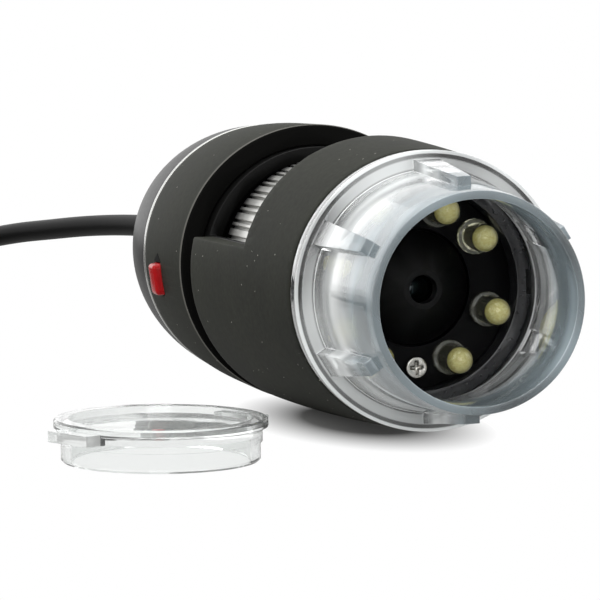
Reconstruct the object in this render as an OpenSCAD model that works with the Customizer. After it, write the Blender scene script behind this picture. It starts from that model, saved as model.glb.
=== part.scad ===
// Handheld USB digital microscope lying on its side, with its clear nose cap taken off.
// Millimetres, +Z up. The origin is on the optical axis at the front rim of the clear nose and
// +X points out of the nose. Stations are distances behind that rim, along -X. Clock angles
// turn about the optical axis from +Y towards +Z, so 90 is the top of the lying microscope.

/* [Lens] */
// Radius of the lens elements
lens_r = 4.6; // [4.2:0.1:5]
// Wall of the lens barrel around the elements
barrel_wall = 1.44; // [1.2:0.02:1.8]
// Radius of the front aperture
aperture_r = 1.5; // [1:0.1:2]
// Radius of the flat land around the aperture
aperture_land_r = 2.1; // [1.9:0.1:2.6]
// Depth of the lens barrel's front tip behind the front edge of the body
lens_tip_in = 0.7; // [0.1:0.1:1.7]
// Length of the lens barrel's front cone
lens_cone_len = 3.6; // [2.5:0.1:5]
// Thickness of the front lens at its middle
front_lens_h = 3; // [2.4:0.1:3.6]
// Thickness of the rear lens at its middle
rear_lens_h = 2.6; // [2.2:0.1:3.2]
// Thickness of a lens at its rim
lens_rim_h = 1.2; // [0.8:0.1:1.6]
// Width of the flat rim around a lens's curved face
lens_rim_w = 0.8; // [0.6:0.1:1]
// Distance between the rims of the two lenses
lens_gap = 6; // [5:0.5:8]
// Length of the lens retaining ring
retainer_len = 2; // [1.5:0.1:3]
// Focus travel to either side of the middle
focus_travel = 3; // [2:0.5:4]

/* [Lamp board] */
// Number of lamps around the lens
led_count = 8; // [6:2:8]
// Clock angle of the first lamp
led_clock = 28; // [0:1:44]
// Extra turn of the first lamp, away from the black ring's notch
lamp_notch_turn = 10; // [0:1:12]
// Extra turn of the lamp before the lower screw, away from that screw
lamp_screw_turn = 16; // [8:1:17]
// Turn of the lower screw from the middle between its two lamps
board_screw_turn = 4; // [0:1:12]
// Radius of a lamp's round body
led_r = 1.5; // [1.4:0.05:1.6]
// Radius of a lamp's foot flange
led_flange_r = 1.9; // [1.8:0.05:2]
// Thickness of a lamp's foot flange
led_flange_h = 0.7; // [0.5:0.1:1]
// Height of a lamp from the board to its tip
led_h = 5.2; // [3:0.1:5.4]
// Free board on each side of a lamp's flange
led_margin = 0.3; // [0.2:0.05:0.6]
// Radius of a lamp's wire leg
leg_r = 0.25; // [0.2:0.05:0.3]
// Distance between the two legs of a lamp
leg_pitch = 2; // [1.6:0.1:2.2]
// Length of a leg behind the lamp board
leg_tail = 1.2; // [0.8:0.1:1.6]
// Thickness of the circuit boards
board_h = 1; // [0.8:0.1:1.2]
// Depth of the lamp board's front behind the front edge of the body
board_depth = 4.3; // [3.8:0.1:5]
// Width of the black ring around the lamp board
bezel_w = 1.65; // [1.4:0.05:2]
// Height that the black ring stands above the lamp board
bezel_h = 2.6; // [2:0.1:3]
// Clock angle of the notch in the black ring
bezel_notch_clock = 2; // [-10:1:20]
// Width of the notch in the black ring
bezel_notch_w = 2.6; // [1.5:0.1:4]
// Depth of the notch in the black ring
bezel_notch_d = 0.6; // [0.3:0.1:1]
// Depth of the hollow behind the lamp board
lamp_hollow = 2; // [1.8:0.1:3]
// Thickness of the lamp mount's back plate
lamp_plate = 2.4; // [2:0.1:3]

/* [Nose] */
// Length of the clear nose in front of the body
nose_len = 17.3; // [15:0.1:20]
// Radius of the nose's open mouth
mouth_r = 10.31; // [9.8:0.01:10.6]
// Depth of the straight mouth
mouth_len = 5; // [4.8:0.1:7]
// Wall of the nose at its rim
rim_wall = 0.81; // [0.7:0.01:1.2]
// Wall of the nose just in front of its flange
nose_wall = 1.2; // [1:0.05:1.6]
// Outer radius of the nose wall just in front of its flange
nose_root_r = 12.7; // [12.4:0.1:13]
// Thickness of the nose's flange
nose_flange_h = 2; // [1.6:0.1:2.6]
// How far the flange stays inside the body's front edge
nose_flange_inset = 0.05; // [0.05:0.05:0.5]
// Length of the spigot inside the body
spigot_len = 5; // [4.2:0.1:5.1]
// Wall of the spigot
spigot_wall = 0.8; // [0.7:0.05:1]
// Number of ribs on the nose
rib_count = 6; // [4:1:8]
// Clock angle of the first rib
rib_clock = 32.5; // [0:0.5:59.5]
// Radius at the crest of a rib's tip
rib_r = 12.45; // [12.3:0.05:13.4]
// Radius at the crest of a rib's root
rib_root_r = 13.8; // [13.5:0.05:14.4]
// Distance of a rib's tip behind the nose's rim
rib_t = 3.4; // [2.5:0.1:8]
// Width of a rib at its tip
rib_tip_w = 1.5; // [1.4:0.1:2.4]
// Width of a rib at its root
rib_root_w = 2.9; // [2.4:0.1:3.6]

/* [Cap] */
// Place of the cap's middle along X
cap_x = -16.5; // [-22:0.5:0]
// Place of the cap's middle along Y
cap_y = -28.6; // [-40:0.1:-28]
// Height of the cap
cap_h = 4.4; // [4:0.1:6.5]
// Thickness of the cap's rim
cap_rim_h = 0.9; // [0.8:0.1:2]
// How far the cap's rim stands out past its skirt
cap_rim_w = 0.55; // [0.45:0.05:0.8]
// Height of the plug below the cap's skirt, which goes into the nose's mouth
cap_plug_h = 2; // [1.6:0.1:2.4]
// How far the cap's skirt stands out past the plug
cap_step_w = 0.2; // [0.15:0.05:0.6]
// Width of the cap's rim ring over its sunk top
cap_ring_w = 1.5; // [1.2:0.1:2.2]
// Depth of the sunk top below the rim
cap_recess = 0.8; // [0.5:0.05:1.8]
// Wall of the cap's top and skirt
cap_wall = 1; // [0.8:0.1:1.3]
// Direction of the cap's first lug about +Z
lug_turn = -61; // [-90:1:-40]
// Width of a cap lug
lug_w = 6; // [3:0.1:7]
// How far a lug stands out past the rim
lug_out = 1.4; // [1:0.1:2]
// Thickness of a lug below the rim
lug_h = 0.8; // [0.6:0.1:1.3]

/* [Shells] */
// Wall of the front shell over the wheel
shell_wall = 2.55; // [2.3:0.05:3]
// Wall of the front shell at its front edge
shell_lip = 1.25; // [0.8:0.05:1.4]
// Length of the front shell
front_shell_len = 37.9; // [35:0.1:39]
// Width of the groove between the shells
groove_w = 4.8; // [4.4:0.05:7]
// Distance of the crown of the barrel behind the front edge of the body
crown_len = 48.7; // [46:0.1:54]
// Front edge of the wheel window behind the front edge of the body
window_start = 16.8; // [16:0.1:19]
// Height of the wheel window's flat lower edges above the optical axis
window_low = 3.7; // [2:0.1:7]
// Length of the straight grip on the rear shell
grip_len = 10.2; // [8:0.1:11]
// Length of the rear shell
rear_shell_len = 21.95; // [20:0.05:24]
// How much the rear shell narrows towards the trim ring
rear_drop = 0.4; // [0.1:0.05:0.5]
// Thickness of the rear shell's front wall
rear_wall = 1.5; // [1.2:0.1:2]
// Small bevel on the rims of the shells
rim_bevel = 0.2; // [0.15:0.05:0.5]
// Width of the bright trim ring
trim_w = 0.8; // [0.6:0.05:1.2]
// How far the trim ring stands out of the shell
trim_out = 0.08; // [0.04:0.02:0.2]
// Length of the rear dome
dome_len = 28; // [18:0.1:30]
// Wall of the rear dome
dome_wall = 1.8; // [1.4:0.1:2.4]
// Radius of the flat end of the dome
dome_flat_r = 5.5; // [5:0.1:7]
// Length of the dome's spigot inside the rear shell
dome_spigot = 3.2; // [2:0.1:3.6]

/* [Focus] */
// Radius over the ribs of the focus wheel
wheel_r = 12.9; // [12.6:0.1:13.4]
// Depth of the grooves between the wheel's ribs
knurl_depth = 0.45; // [0.3:0.05:0.6]
// Pairs of a wide and a narrow rib round the wheel
knurl_pairs = 40; // [30:1:48]
// Share of a pair that its wide rib takes
wide_share = 0.42; // [0.36:0.01:0.46]
// Share of a pair that its narrow rib takes
narrow_share = 0.2; // [0.16:0.01:0.24]
// Length of the focus wheel
wheel_len = 13; // [12:0.5:13.5]
// Station of the wheel's front face behind the front edge of the body
wheel_start = 23.9; // [23:0.1:24.4]
// Turn of the wheel to either side of the middle, in degrees
wheel_turn = 150; // [120:5:160]
// Gap between the wheel and the bore of the front shell
wheel_gap = 1.3; // [1.2:0.05:1.5]
// Wall of the guide tube
tube_wall = 1.75; // [1.5:0.05:2]
// Radius of a follower pin
pin_r = 0.8; // [0.7:0.05:0.9]
// How deep a follower pin reaches into the wheel's hub
pin_reach = 1.4; // [1.2:0.1:1.6]
// Radius of the guide tube's rear flange
tube_flange_r = 10.2; // [9.8:0.1:10.6]
// Thickness of the guide tube's rear flange
tube_flange_h = 2.1; // [1.8:0.1:2.6]
// Wall of the sleeve in front of the wheel
sleeve_wall = 1.6; // [1.2:0.1:2]
// Thickness of the thrust washer
washer_h = 0.4; // [0.3:0.05:0.5]

/* [Neck and boards] */
// Radius of the light path behind the lens
light_r = 5; // [4.5:0.1:5.4]
// How far the neck stands out in front of the rear shell
neck_out = 2.05; // [1.6:0.05:2.6]
// Wall of the neck's front ring
neck_wall = 1.7; // [1.4:0.1:2]
// Wall of the neck's trough-shaped tongue
tongue_wall = 0.8; // [0.7:0.05:0.9]
// Length of the tongue inside the front shell
tongue_len = 20; // [6:0.5:20.5]
// Thickness of the neck's back plate
neck_plate = 3.8; // [3.4:0.1:4.4]
// Height of the neck's lip behind the rear shell's front wall
neck_lip = 0.8; // [0.6:0.1:1]
// Radius of the infrared filter
filter_r = 6; // [5.6:0.1:6.2]
// Thickness of the infrared filter
filter_h = 0.8; // [0.6:0.1:1]
// Distance of the sensor board behind the neck
standoff_h = 2.5; // [2.2:0.1:3]
// Radius of the sensor board
sensor_board_r = 12.4; // [12:0.1:12.8]
// Width of the image sensor
sensor_w = 8; // [6:0.5:9]
// Thickness of the image sensor
sensor_h = 1.4; // [1:0.1:1.6]
// Width of the controller chip
chip_w = 5; // [4:0.5:5.5]
// Thickness of the controller chip
chip_h = 1; // [0.8:0.1:1.4]
// Radius of the crystal's can
crystal_r = 1.5; // [1.2:0.1:1.8]
// Length of the crystal's can
crystal_len = 4.5; // [3.5:0.1:5]
// Length and width of the cable socket
socket_w = 7; // [6:0.5:7.5]
// Depth of the cable socket across its width
socket_d = 4.6; // [4:0.1:5]
// Height of the cable socket
socket_h = 5; // [4:0.1:6]
// Radius of the small screw heads
screw_head_r = 1.2; // [1.1:0.05:1.25]
// Height of the small screw heads
screw_head_h = 0.9; // [0.7:0.1:1]
// Radius of the small screws
screw_r = 0.6; // [0.5:0.05:0.65]
// Wall of a screw boss
boss_wall = 0.7; // [0.6:0.05:0.8]
// Length of thread that a small screw has in its boss
screw_bite = 1.8; // [1.4:0.1:1.8]

/* [Button] */
// Distance of the button's middle behind the front edge of the rear shell
button_start = 12.65; // [12:0.05:15]
// Clock angle of the button
button_clock = 188.5; // [180:0.5:200]
// Length of the button round the shell
button_w = 3.9; // [3.6:0.1:5.6]
// Width of the button along the shell
button_d = 3.1; // [2.2:0.1:4.2]
// Radius of the button's corners
button_corner = 0.6; // [0.4:0.05:0.9]
// How far the button stands out of the shell
button_out = 0.9; // [0.85:0.05:1.6]
// Travel of the button
button_travel = 0.8; // [0.5:0.1:0.9]
// Thickness of the button's inner flange
button_flange_h = 0.8; // [0.6:0.1:1]
// How far the inner flange stands out past the button
button_flange_w = 0.6; // [0.5:0.1:0.7]
// Width of the switch below the button
switch_w = 5; // [4.5:0.1:5.6]
// Height of the switch below the button
switch_h = 1.8; // [1.6:0.1:2]
// Radius of the switch's plunger
plunger_r = 1; // [0.8:0.1:1.2]
// Thickness of the shelf that carries the switch board
shelf_h = 1.6; // [1.2:0.1:2]
// Width of the shelf and the switch board
shelf_w = 8.4; // [7.5:0.1:9]
// Length of the switch board
switch_board_len = 9; // [8:0.1:9.5]

/* [Cable] */
// Diameter of the cable
cord_d = 3.2; // [3:0.1:3.2]
// Radius of the cable gland in the dome
gland_r = 3; // [2.8:0.1:3.4]
// Radius of the gland's collars
gland_collar_r = 4.1; // [3.8:0.1:4.4]
// Thickness of the gland's collars
gland_collar_h = 1.2; // [1:0.1:1.6]
// Length of the gland's tapered boot
gland_boot = 6; // [4:0.1:8]
// Outer radius of the coil, at the middle of the cable
coil_r = 23; // [22:0.5:23]
// Number of layers in the coil
coil_layers = 4; // [2:2:4]
// Turns of the coil in each layer
coil_layer_turns = 2.5625; // [1.5625:1:2.5625]
// Distance between turns and between layers, beyond the cable's diameter
coil_space = 0.6; // [0.5:0.05:0.7]
// Thickness of the tie round the coil
tie_h = 0.7; // [0.5:0.1:0.8]
// Width of the tie round the coil
tie_w = 5; // [4:0.5:8]

/* [Plug] */
// Width of the plug's metal shell
plug_shell_w = 12; // [11.9:0.05:12.1]
// Height of the plug's metal shell
plug_shell_h = 4.5; // [4.4:0.05:4.6]
// Free length of the plug's metal shell
plug_shell_len = 13; // [11.75:0.25:14]
// Wall of the plug's metal shell
plug_shell_wall = 0.3; // [0.25:0.05:0.4]
// Thickness of the insulator tongue in the plug
plug_tongue_h = 1.9; // [1.7:0.05:2]
// Width of the plug's grip
plug_w = 15.6; // [14:0.1:17]
// Height of the plug's grip
plug_h = 8; // [7:0.1:9]
// Length of the plug's grip
plug_len = 20; // [16:0.5:24]
// Depth of the finger grooves across the plug's grip
grip_groove_d = 0.5; // [0.3:0.05:0.6]
// Width of a finger groove and of the land beside it
grip_groove_w = 1.2; // [0.8:0.1:1.4]
// Length of the plug's strain relief
relief_len = 9; // [6:0.5:12]
// Thickness of a plug contact
contact_h = 0.3; // [0.2:0.05:0.3]
// Width of a plug contact
contact_w = 1; // [0.8:0.1:1.2]
// Width of a catch window in the plug's shell
catch_w = 2.5; // [2:0.1:2.6]

/* [Hidden] */

// Named clearances: a sliding or turning fit, a press seat, an easy seat and free room
slide_fit = 0.06;
seat_fit = 0.02;
easy_fit = 0.1;
free_gap = 0.3;

// Facets of large and small round faces, and steps along a curved outline
round_fn = 128;
small_fn = 32;
curve_steps = 12;
over = 1;

// Radii from the lens outwards
bore_r = lens_r + slide_fit;
barrel_r = bore_r + barrel_wall;
tube_in = barrel_r + slide_fit;
tube_r = tube_in + tube_wall;
hub_in = tube_r + slide_fit;
pin_out_r = hub_in + pin_reach;
cam_r = pin_out_r + free_gap;
tube_seat_r = tube_r + seat_fit;
board_hole_r = barrel_r + free_gap;
led_ring_r = board_hole_r + led_margin + led_flange_r;
board_r = led_ring_r + led_flange_r + led_margin;
bezel_in = board_r + easy_fit;
bezel_r = bezel_in + bezel_w;
spigot_in = bezel_r + easy_fit;
spigot_r = spigot_in + spigot_wall;
front_bore_r = spigot_r + easy_fit;
lamp_r = front_bore_r - easy_fit;
front_edge_r = front_bore_r + shell_lip;
nose_flange_r = front_edge_r - nose_flange_inset;
shell_bore_r = wheel_r + wheel_gap;
body_r = shell_bore_r + shell_wall;
neck_r = shell_bore_r - easy_fit;
lip_r = neck_r + neck_lip;
rear_bore_r = lip_r + easy_fit;
rear_end_r = body_r - rear_drop;
trim_r = rear_end_r + trim_out;
floor_z = -body_r;

// Stations from the nose's rim backwards
lens_tip_t = nose_len + lens_tip_in;
board_t = nose_len + board_depth;
board_back_t = board_t + board_h;
bezel_t = board_t - bezel_h;
lamp_plate_t = board_back_t + lamp_hollow;
lamp_end_t = lamp_plate_t + lamp_plate;
front_end_t = nose_len + front_shell_len;
window_t = nose_len + window_start;
wheel_t = nose_len + wheel_start;
wheel_end_t = wheel_t + wheel_len;
pin_t = wheel_t + wheel_len / 2;
washer_t = wheel_end_t + easy_fit;
tube_flange_t = washer_t + washer_h;
tube_end_t = tube_flange_t + tube_flange_h;
rear_t = front_end_t + groove_w;
grip_t = rear_t + rim_bevel + grip_len;
rear_end_t = rear_t + rear_shell_len;
neck_t = rear_t - neck_out;
lip_t = rear_t + rear_wall;
neck_end_t = rear_t + neck_plate;
filter_t = neck_end_t - filter_h - easy_fit;
sensor_board_t = neck_end_t + standoff_h;
sensor_back_t = sensor_board_t + board_h;
button_t = rear_t + button_start;
dome_t = rear_end_t + trim_w;
dome_end_t = dome_t + dome_len;
gland_end_t = dome_end_t + gland_collar_h + gland_boot;

// Lens stack inside the barrel
lens_seat_t = lens_tip_t + lens_cone_len + barrel_wall;
spacer_t = lens_seat_t + lens_rim_h;
rear_lens_t = spacer_t + lens_gap;
retainer_t = rear_lens_t + lens_rim_h;
barrel_end_t = pin_t + focus_travel;
lens_clear_r = lens_r - lens_rim_w;

// Screws: lamp board screws lie between lamps, frame and sensor screws keep clear of the shelf
lamp_step = 360 / led_count;
lamp_clocks = [
  for (k = [0:led_count - 1])
    led_clock + k * lamp_step
    + (k == 0 ? lamp_notch_turn : k == led_count - 3 ? -lamp_screw_turn : 0)
];
board_screw_clocks = [
  led_clock + (led_count - 2.5) * lamp_step - board_screw_turn, led_clock + 1.5 * lamp_step
];
frame_screw_clocks = [for (k = [0:2]) button_clock + 180 + k * 120];
frame_screw_r = tube_flange_r - screw_head_r - free_gap;
sensor_screw_clocks = [button_clock + 120, button_clock - 120];
sensor_screw_r = sensor_board_r - screw_head_r - free_gap;
boss_r = screw_r + boss_wall;

// Cross recess of a screw: its length in head radii and its width in screw radii
recess_len_share = 1.2;
recess_w_share = 0.5;

// Button stack from the shell inwards, as radii along the button's own direction
button_top_r = body_r + button_out;
button_flange_top_r = sqrt(pow(rear_bore_r, 2) - pow(button_w / 2 + button_flange_w, 2)) - easy_fit;
button_in_r = button_flange_top_r - button_flange_h;
switch_top_r = button_in_r - button_travel - free_gap;
switch_in_r = switch_top_r - switch_h;
shelf_top_r = switch_in_r - board_h;
shelf_in_r = shelf_top_r - shelf_h;
plunger_in_r = switch_in_r + button_travel + free_gap;

// Cap, worked from the mouth that it plugs
cap_plug_r = mouth_r - easy_fit;
cap_skirt_r = cap_plug_r + cap_step_w;
cap_rim_r = cap_skirt_r + cap_rim_w;

// Coil
cord_r = cord_d / 2;
coil_step = cord_d + coil_space;
coil_base_z = floor_z + tie_h + easy_fit + cord_r;
coil_turns = coil_layers * coil_layer_turns;
climb_turns = 0.5;
coil_rings = 24;
coil_sides = 6;
cord_sides = 8;
coil_x = -172;
coil_y = -62;
coil_start = 180;
coil_in_r = coil_r - coil_step * coil_layer_turns;
coil_top_z = coil_base_z + coil_step * (coil_layers - 1);
tie_turn = 45;

// Cable from the gland to the coil, and from the coil to the plug
plug_x = -120;
plug_y = -78.5;
plug_z = floor_z + plug_h / 2;
grip_grooves = 4;
relief_rings = 2;
lead_points = [
  [-gland_end_t, 0, 0], [-gland_end_t - cord_d, 0, 0], [-124, -1, 0.3], [-129, -2.4, 0.5],
  [-136, -4.8, 0.6], [-143, -7.8, 0.4], [-150, -11.4, -0.1], [-157, -15.4, -0.9], [-164, -19.6, -1.8],
  [-171, -24.2, -3.2], [-178, -29.6, -5.4], [-184, -35.4, -8], [-189, -41.4, -10.8],
  [-193, -47.6, -13.2], [coil_x - coil_r, -54, coil_base_z],
  [coil_x - coil_r, coil_y + cord_d, coil_base_z]
];
tail_points = [
  [coil_x + cord_d, coil_y - coil_r, coil_top_z], [-164, coil_y - coil_r, coil_top_z],
  [-157, -84.5, -4], [-150, -83.3, -6], [-143, -81.7, -8.4], [-136, -80, -10.6],
  [-130, -78.9, -12.2], [plug_x - relief_len / 2, plug_y, plug_z], [plug_x, plug_y, plug_z]
];

// Local frame of the optical axis: z runs backwards from the nose's rim and x is up
module on_axis() rotate([0, -90, 0]) children();

// Turn so that local x points out at a clock angle
module at_clock(clock) rotate([0, 0, 90 - clock]) children();

module turned(outline) rotate_extrude($fn = round_fn) polygon(outline);

module ring(r_in, r_out, t0, t1) turned([[r_in, t0], [r_out, t0], [r_out, t1], [r_in, t1]]);

module rod(r, t0, t1) translate([0, 0, t0]) cylinder(h = t1 - t0, r = r, $fn = small_fn);

// Rod along the local x direction, at station t
module radial_rod(r, t, r0, r1)
  translate([r0, 0, t]) rotate([0, 90, 0]) cylinder(h = r1 - r0, r = r, $fn = small_fn);

// Block from radius r0 to r1, centred across, from station t0 to t1
module block(r0, r1, w, t0, t1) translate([r0, -w / 2, t0]) cube([r1 - r0, w, t1 - t0]);

// Outer radius of the barrel of the body at station t
function barrel_outline(t) =
  body_r - (body_r - front_edge_r) * pow((nose_len + crown_len - t) / crown_len, 2);

// Outer radius of the nose's wall at station t
nose_root_t = nose_len - nose_flange_h;
function nose_outline(t) =
  mouth_r + rim_wall + (nose_root_r - mouth_r - rim_wall) * t / nose_root_t;

// Clear nose with its flange, its spigot and its ribs
module nose_cover() {
  color([0.86, 0.9, 0.93, 0.4])
    on_axis() {
      turned([
        [mouth_r, 0], [mouth_r + rim_wall, 0], [nose_root_r, nose_root_t],
        [nose_flange_r, nose_root_t], [nose_flange_r, nose_len], [spigot_r, nose_len],
        [spigot_r, nose_len + spigot_len], [spigot_in, nose_len + spigot_len],
        [spigot_in, nose_len], [nose_root_r - nose_wall, nose_root_t], [mouth_r, mouth_len]
      ]);
      for (k = [0:rib_count - 1])
        at_clock(rib_clock + k * 360 / rib_count) nose_rib();
    }
}

// One rib of the nose: a straight crest that rises and widens towards the flange
module nose_rib() {
  sink = rim_wall / 2;
  intersection() {
    rotate([90, 0, 0])
      linear_extrude(rib_root_w, center = true)
        polygon([
          [nose_outline(rib_t) - sink, rib_t], [rib_r, rib_t], [rib_root_r, nose_root_t],
          [rib_root_r, nose_root_t + sink], [nose_outline(nose_root_t) - sink, nose_root_t + sink]
        ]);
    rotate([90, 0, 90])
      linear_extrude(rib_root_r + over)
        polygon([
          [-rib_tip_w / 2, rib_t], [rib_tip_w / 2, rib_t],
          [rib_root_w / 2, nose_root_t + sink], [-rib_root_w / 2, nose_root_t + sink]
        ]);
  }
}

// Clear cap lying on the floor, its sunk top upwards
module lens_cap() {
  skirt_h = cap_h - cap_rim_h;
  top_h = cap_h - cap_recess;
  color([0.86, 0.9, 0.93, 0.4])
    translate([cap_x, cap_y, floor_z]) {
      turned([
        [0, top_h - cap_wall], [cap_plug_r - cap_wall, top_h - cap_wall],
        [cap_plug_r - cap_wall, 0], [cap_plug_r - rim_bevel, 0], [cap_plug_r, rim_bevel],
        [cap_plug_r, cap_plug_h], [cap_skirt_r, cap_plug_h], [cap_skirt_r, skirt_h],
        [cap_rim_r, skirt_h], [cap_rim_r, cap_h - rim_bevel],
        [cap_rim_r - rim_bevel, cap_h], [cap_rim_r - cap_ring_w, cap_h],
        [cap_rim_r - cap_ring_w, top_h], [0, top_h]
      ]);
      for (turn = [lug_turn, lug_turn + 180])
        rotate([0, 0, turn])
          block(cap_skirt_r - cap_wall / 2, cap_rim_r + lug_out, lug_w, skirt_h - lug_h,
                skirt_h + cap_rim_h / 3);
    }
}

// Front shell: a barrel with the wheel window cut from its rear edge
module front_shell() {
  bore_t = lamp_end_t + free_gap;
  color([0.1, 0.1, 0.11])
    on_axis()
      difference() {
        turned(concat(
          [[front_bore_r, nose_len]],
          [for (i = [0:curve_steps])
            let (t = nose_len + i * (front_shell_len - rim_bevel) / curve_steps)
            [barrel_outline(t), t]],
          [[barrel_outline(front_end_t) - rim_bevel, front_end_t], [shell_bore_r, front_end_t],
           [shell_bore_r, bore_t + shell_bore_r - front_bore_r], [front_bore_r, bore_t]]
        ));
        block(window_low, body_r + over, 2 * body_r, window_t, front_end_t + over);
      }
}

// Black ring around the lamp board, with its small notch
module bezel_ring() {
  color([0.06, 0.06, 0.06])
    on_axis()
      difference() {
        turned([
          [bezel_in, bezel_t], [bezel_r - rim_bevel, bezel_t], [bezel_r, bezel_t + rim_bevel],
          [bezel_r, board_back_t], [bezel_in, board_back_t]
        ]);
        at_clock(bezel_notch_clock)
          block(bezel_r - bezel_notch_d, bezel_r + over, bezel_notch_w, bezel_t - over,
                board_t);
      }
}

// Places children at every lamp, local x outwards, at the lamp circle
module at_lamps()
  for (clock = lamp_clocks)
    at_clock(clock) translate([led_ring_r, 0, 0]) children();

// Places children at both lamp board screws
module at_board_screws()
  for (clock = board_screw_clocks)
    at_clock(clock) translate([led_ring_r, 0, 0]) children();

// Ring-shaped lamp board, drilled for the legs and the screws
module led_board() {
  color([0.05, 0.05, 0.05])
    on_axis()
      difference() {
        ring(board_hole_r, board_r, board_t, board_back_t);
        at_lamps()
          for (side = [-1, 1])
            translate([0, side * leg_pitch / 2, 0])
              rod(leg_r + easy_fit, board_t - over, board_back_t + over);
        at_board_screws() rod(screw_r + easy_fit, board_t - over, board_back_t + over);
      }
}

// Round lamps: foot flange, body and dome
module led_lamps() {
  color([0.95, 0.93, 0.7])
    on_axis()
      at_lamps()
        union() {
          rod(led_flange_r, board_t - led_flange_h, board_t);
          rod(led_r, board_t - led_h + led_r, board_t);
          translate([0, 0, board_t - led_h + led_r]) sphere(r = led_r, $fn = small_fn);
        }
}

// Wire legs of the lamps, through the board
module led_legs() {
  color([0.75, 0.75, 0.76])
    on_axis()
      at_lamps()
        for (side = [-1, 1])
          translate([0, side * leg_pitch / 2, 0]) rod(leg_r, board_t, board_back_t + leg_tail);
}

// Pan-head screw with a cross recess; its head's seat is at station t and it points backwards
module screw(t, reach) {
  slot_w = screw_r * recess_w_share;
  slot_l = screw_head_r * recess_len_share;
  difference() {
    union() {
      rod(screw_head_r, t - screw_head_h, t);
      rod(screw_r, t, t + reach);
    }
    for (turn = [0, 90])
      rotate([0, 0, turn])
        block(-slot_l / 2, slot_l / 2, slot_w, t - screw_head_h - over, t - screw_head_h / 2);
  }
}

module board_screws() {
  color([0.8, 0.8, 0.82]) on_axis() at_board_screws() screw(board_t, board_h + screw_bite);
}

// Lamp mount: carries the lamp board and the black ring, and centres the guide tube
module lamp_mount() {
  land_r = led_ring_r + boss_r + free_gap;
  color([0.12, 0.12, 0.13])
    on_axis()
      difference() {
        union() {
          turned([
            [land_r, board_back_t], [lamp_r, board_back_t], [lamp_r, lamp_end_t],
            [tube_in, lamp_end_t], [tube_in, lamp_plate_t], [land_r, lamp_plate_t]
          ]);
          at_board_screws() rod(boss_r, board_back_t, lamp_plate_t + lamp_plate / 2);
        }
        translate([0, 0, lamp_plate_t])
          cylinder(h = lamp_plate + over, r = tube_seat_r, $fn = round_fn);
        at_board_screws()
          rod(screw_r + seat_fit, board_back_t - over, board_back_t + screw_bite + easy_fit);
      }
}

// Guide tube with two straight slots for the follower pins and a rear flange
module guide_tube() {
  slot_reach = focus_travel + pin_r + free_gap;
  color([0.16, 0.16, 0.17])
    on_axis()
      difference() {
        turned([
          [tube_in, lamp_plate_t], [tube_r, lamp_plate_t], [tube_r, tube_flange_t],
          [tube_flange_r, tube_flange_t], [tube_flange_r, tube_end_t], [tube_in, tube_end_t]
        ]);
        for (clock = [0, 180])
          at_clock(clock)
            block(tube_in - over, tube_r + over, 2 * (pin_r + slide_fit), pin_t - slot_reach,
                  pin_t + slot_reach);
        for (clock = frame_screw_clocks)
          at_clock(clock)
            translate([frame_screw_r, 0, 0])
              rod(screw_r + seat_fit, tube_end_t - screw_bite - easy_fit, tube_end_t + over);
      }
}

// Sleeve that holds the wheel off the lamp mount
module wheel_sleeve() {
  color([0.16, 0.16, 0.17])
    on_axis() ring(hub_in, hub_in + sleeve_wall, lamp_end_t, wheel_t - easy_fit);
}

// Outline of the ribbed wheel: a wide and a narrow rib in each pair
gap_share = (1 - wide_share - narrow_share) / 2;
narrow_start = wide_share + gap_share;
narrow_end = narrow_start + narrow_share;
function on_wheel(share, r) = let (turn = share * 360 / knurl_pairs) r * [cos(turn), sin(turn)];
knurl_root_r = wheel_r - knurl_depth;
knurl_outline = [
  for (pair = [0:knurl_pairs - 1])
    each [
      on_wheel(pair, wheel_r), on_wheel(pair + wide_share, wheel_r),
      on_wheel(pair + wide_share, knurl_root_r), on_wheel(pair + narrow_start, knurl_root_r),
      on_wheel(pair + narrow_start, wheel_r), on_wheel(pair + narrow_end, wheel_r),
      on_wheel(pair + narrow_end, knurl_root_r), on_wheel(pair + 1, knurl_root_r)
    ]
];

// Cam groove: a strip wound round the hub's bore that moves the pins along the axis.
// A turn of the wheel by +a about +X moves the pins by +X, so the strip climbs the other way.
cam_lead = focus_travel / wheel_turn;
cam_steps = 26;
cam_run_out = 12;
cam_end = wheel_turn + cam_run_out;
cam_half = pin_r + slide_fit + easy_fit;
function cam_corner(i, r, side) =
  let (turn = -cam_end + 2 * cam_end * i / cam_steps)
  [r * cos(turn), r * sin(turn), side * cam_half - turn * cam_lead];
function cam_ring(i) = [
  cam_corner(i, hub_in - over, -1), cam_corner(i, hub_in - over, 1),
  cam_corner(i, cam_r, 1), cam_corner(i, cam_r, -1)
];

module cam_groove() {
  points = [for (i = [0:cam_steps]) each cam_ring(i)];
  polyhedron(points, tube_faces(cam_steps + 1, 4));
}

module focus_wheel() {
  color([0.78, 0.79, 0.8])
    on_axis()
      difference() {
        translate([0, 0, wheel_t]) linear_extrude(wheel_len) polygon(knurl_outline);
        rotate_extrude($fn = round_fn)
          translate([0, wheel_t - over]) square([hub_in, wheel_len + 2 * over]);
        for (clock = [0, 180])
          at_clock(clock) translate([0, 0, pin_t]) cam_groove();
      }
}

module thrust_washer() {
  color([0.7, 0.7, 0.72])
    on_axis() ring(hub_in, tube_flange_r, washer_t, washer_t + washer_h);
}

// Lens barrel with its front cone, aperture and bore
module lens_barrel() {
  cone_end_t = lens_tip_t + lens_cone_len;
  color([0.05, 0.05, 0.05])
    on_axis()
      difference() {
        turned([
          [aperture_r, lens_tip_t], [aperture_land_r, lens_tip_t], [barrel_r, cone_end_t],
          [barrel_r, barrel_end_t], [bore_r, barrel_end_t], [bore_r, lens_seat_t],
          [lens_clear_r, lens_seat_t], [lens_clear_r, cone_end_t],
          [aperture_r, lens_tip_t + barrel_wall]
        ]);
        for (clock = [0, 180])
          at_clock(clock) radial_rod(pin_r + seat_fit, pin_t, bore_r - over, barrel_r + over);
      }
}

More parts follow.
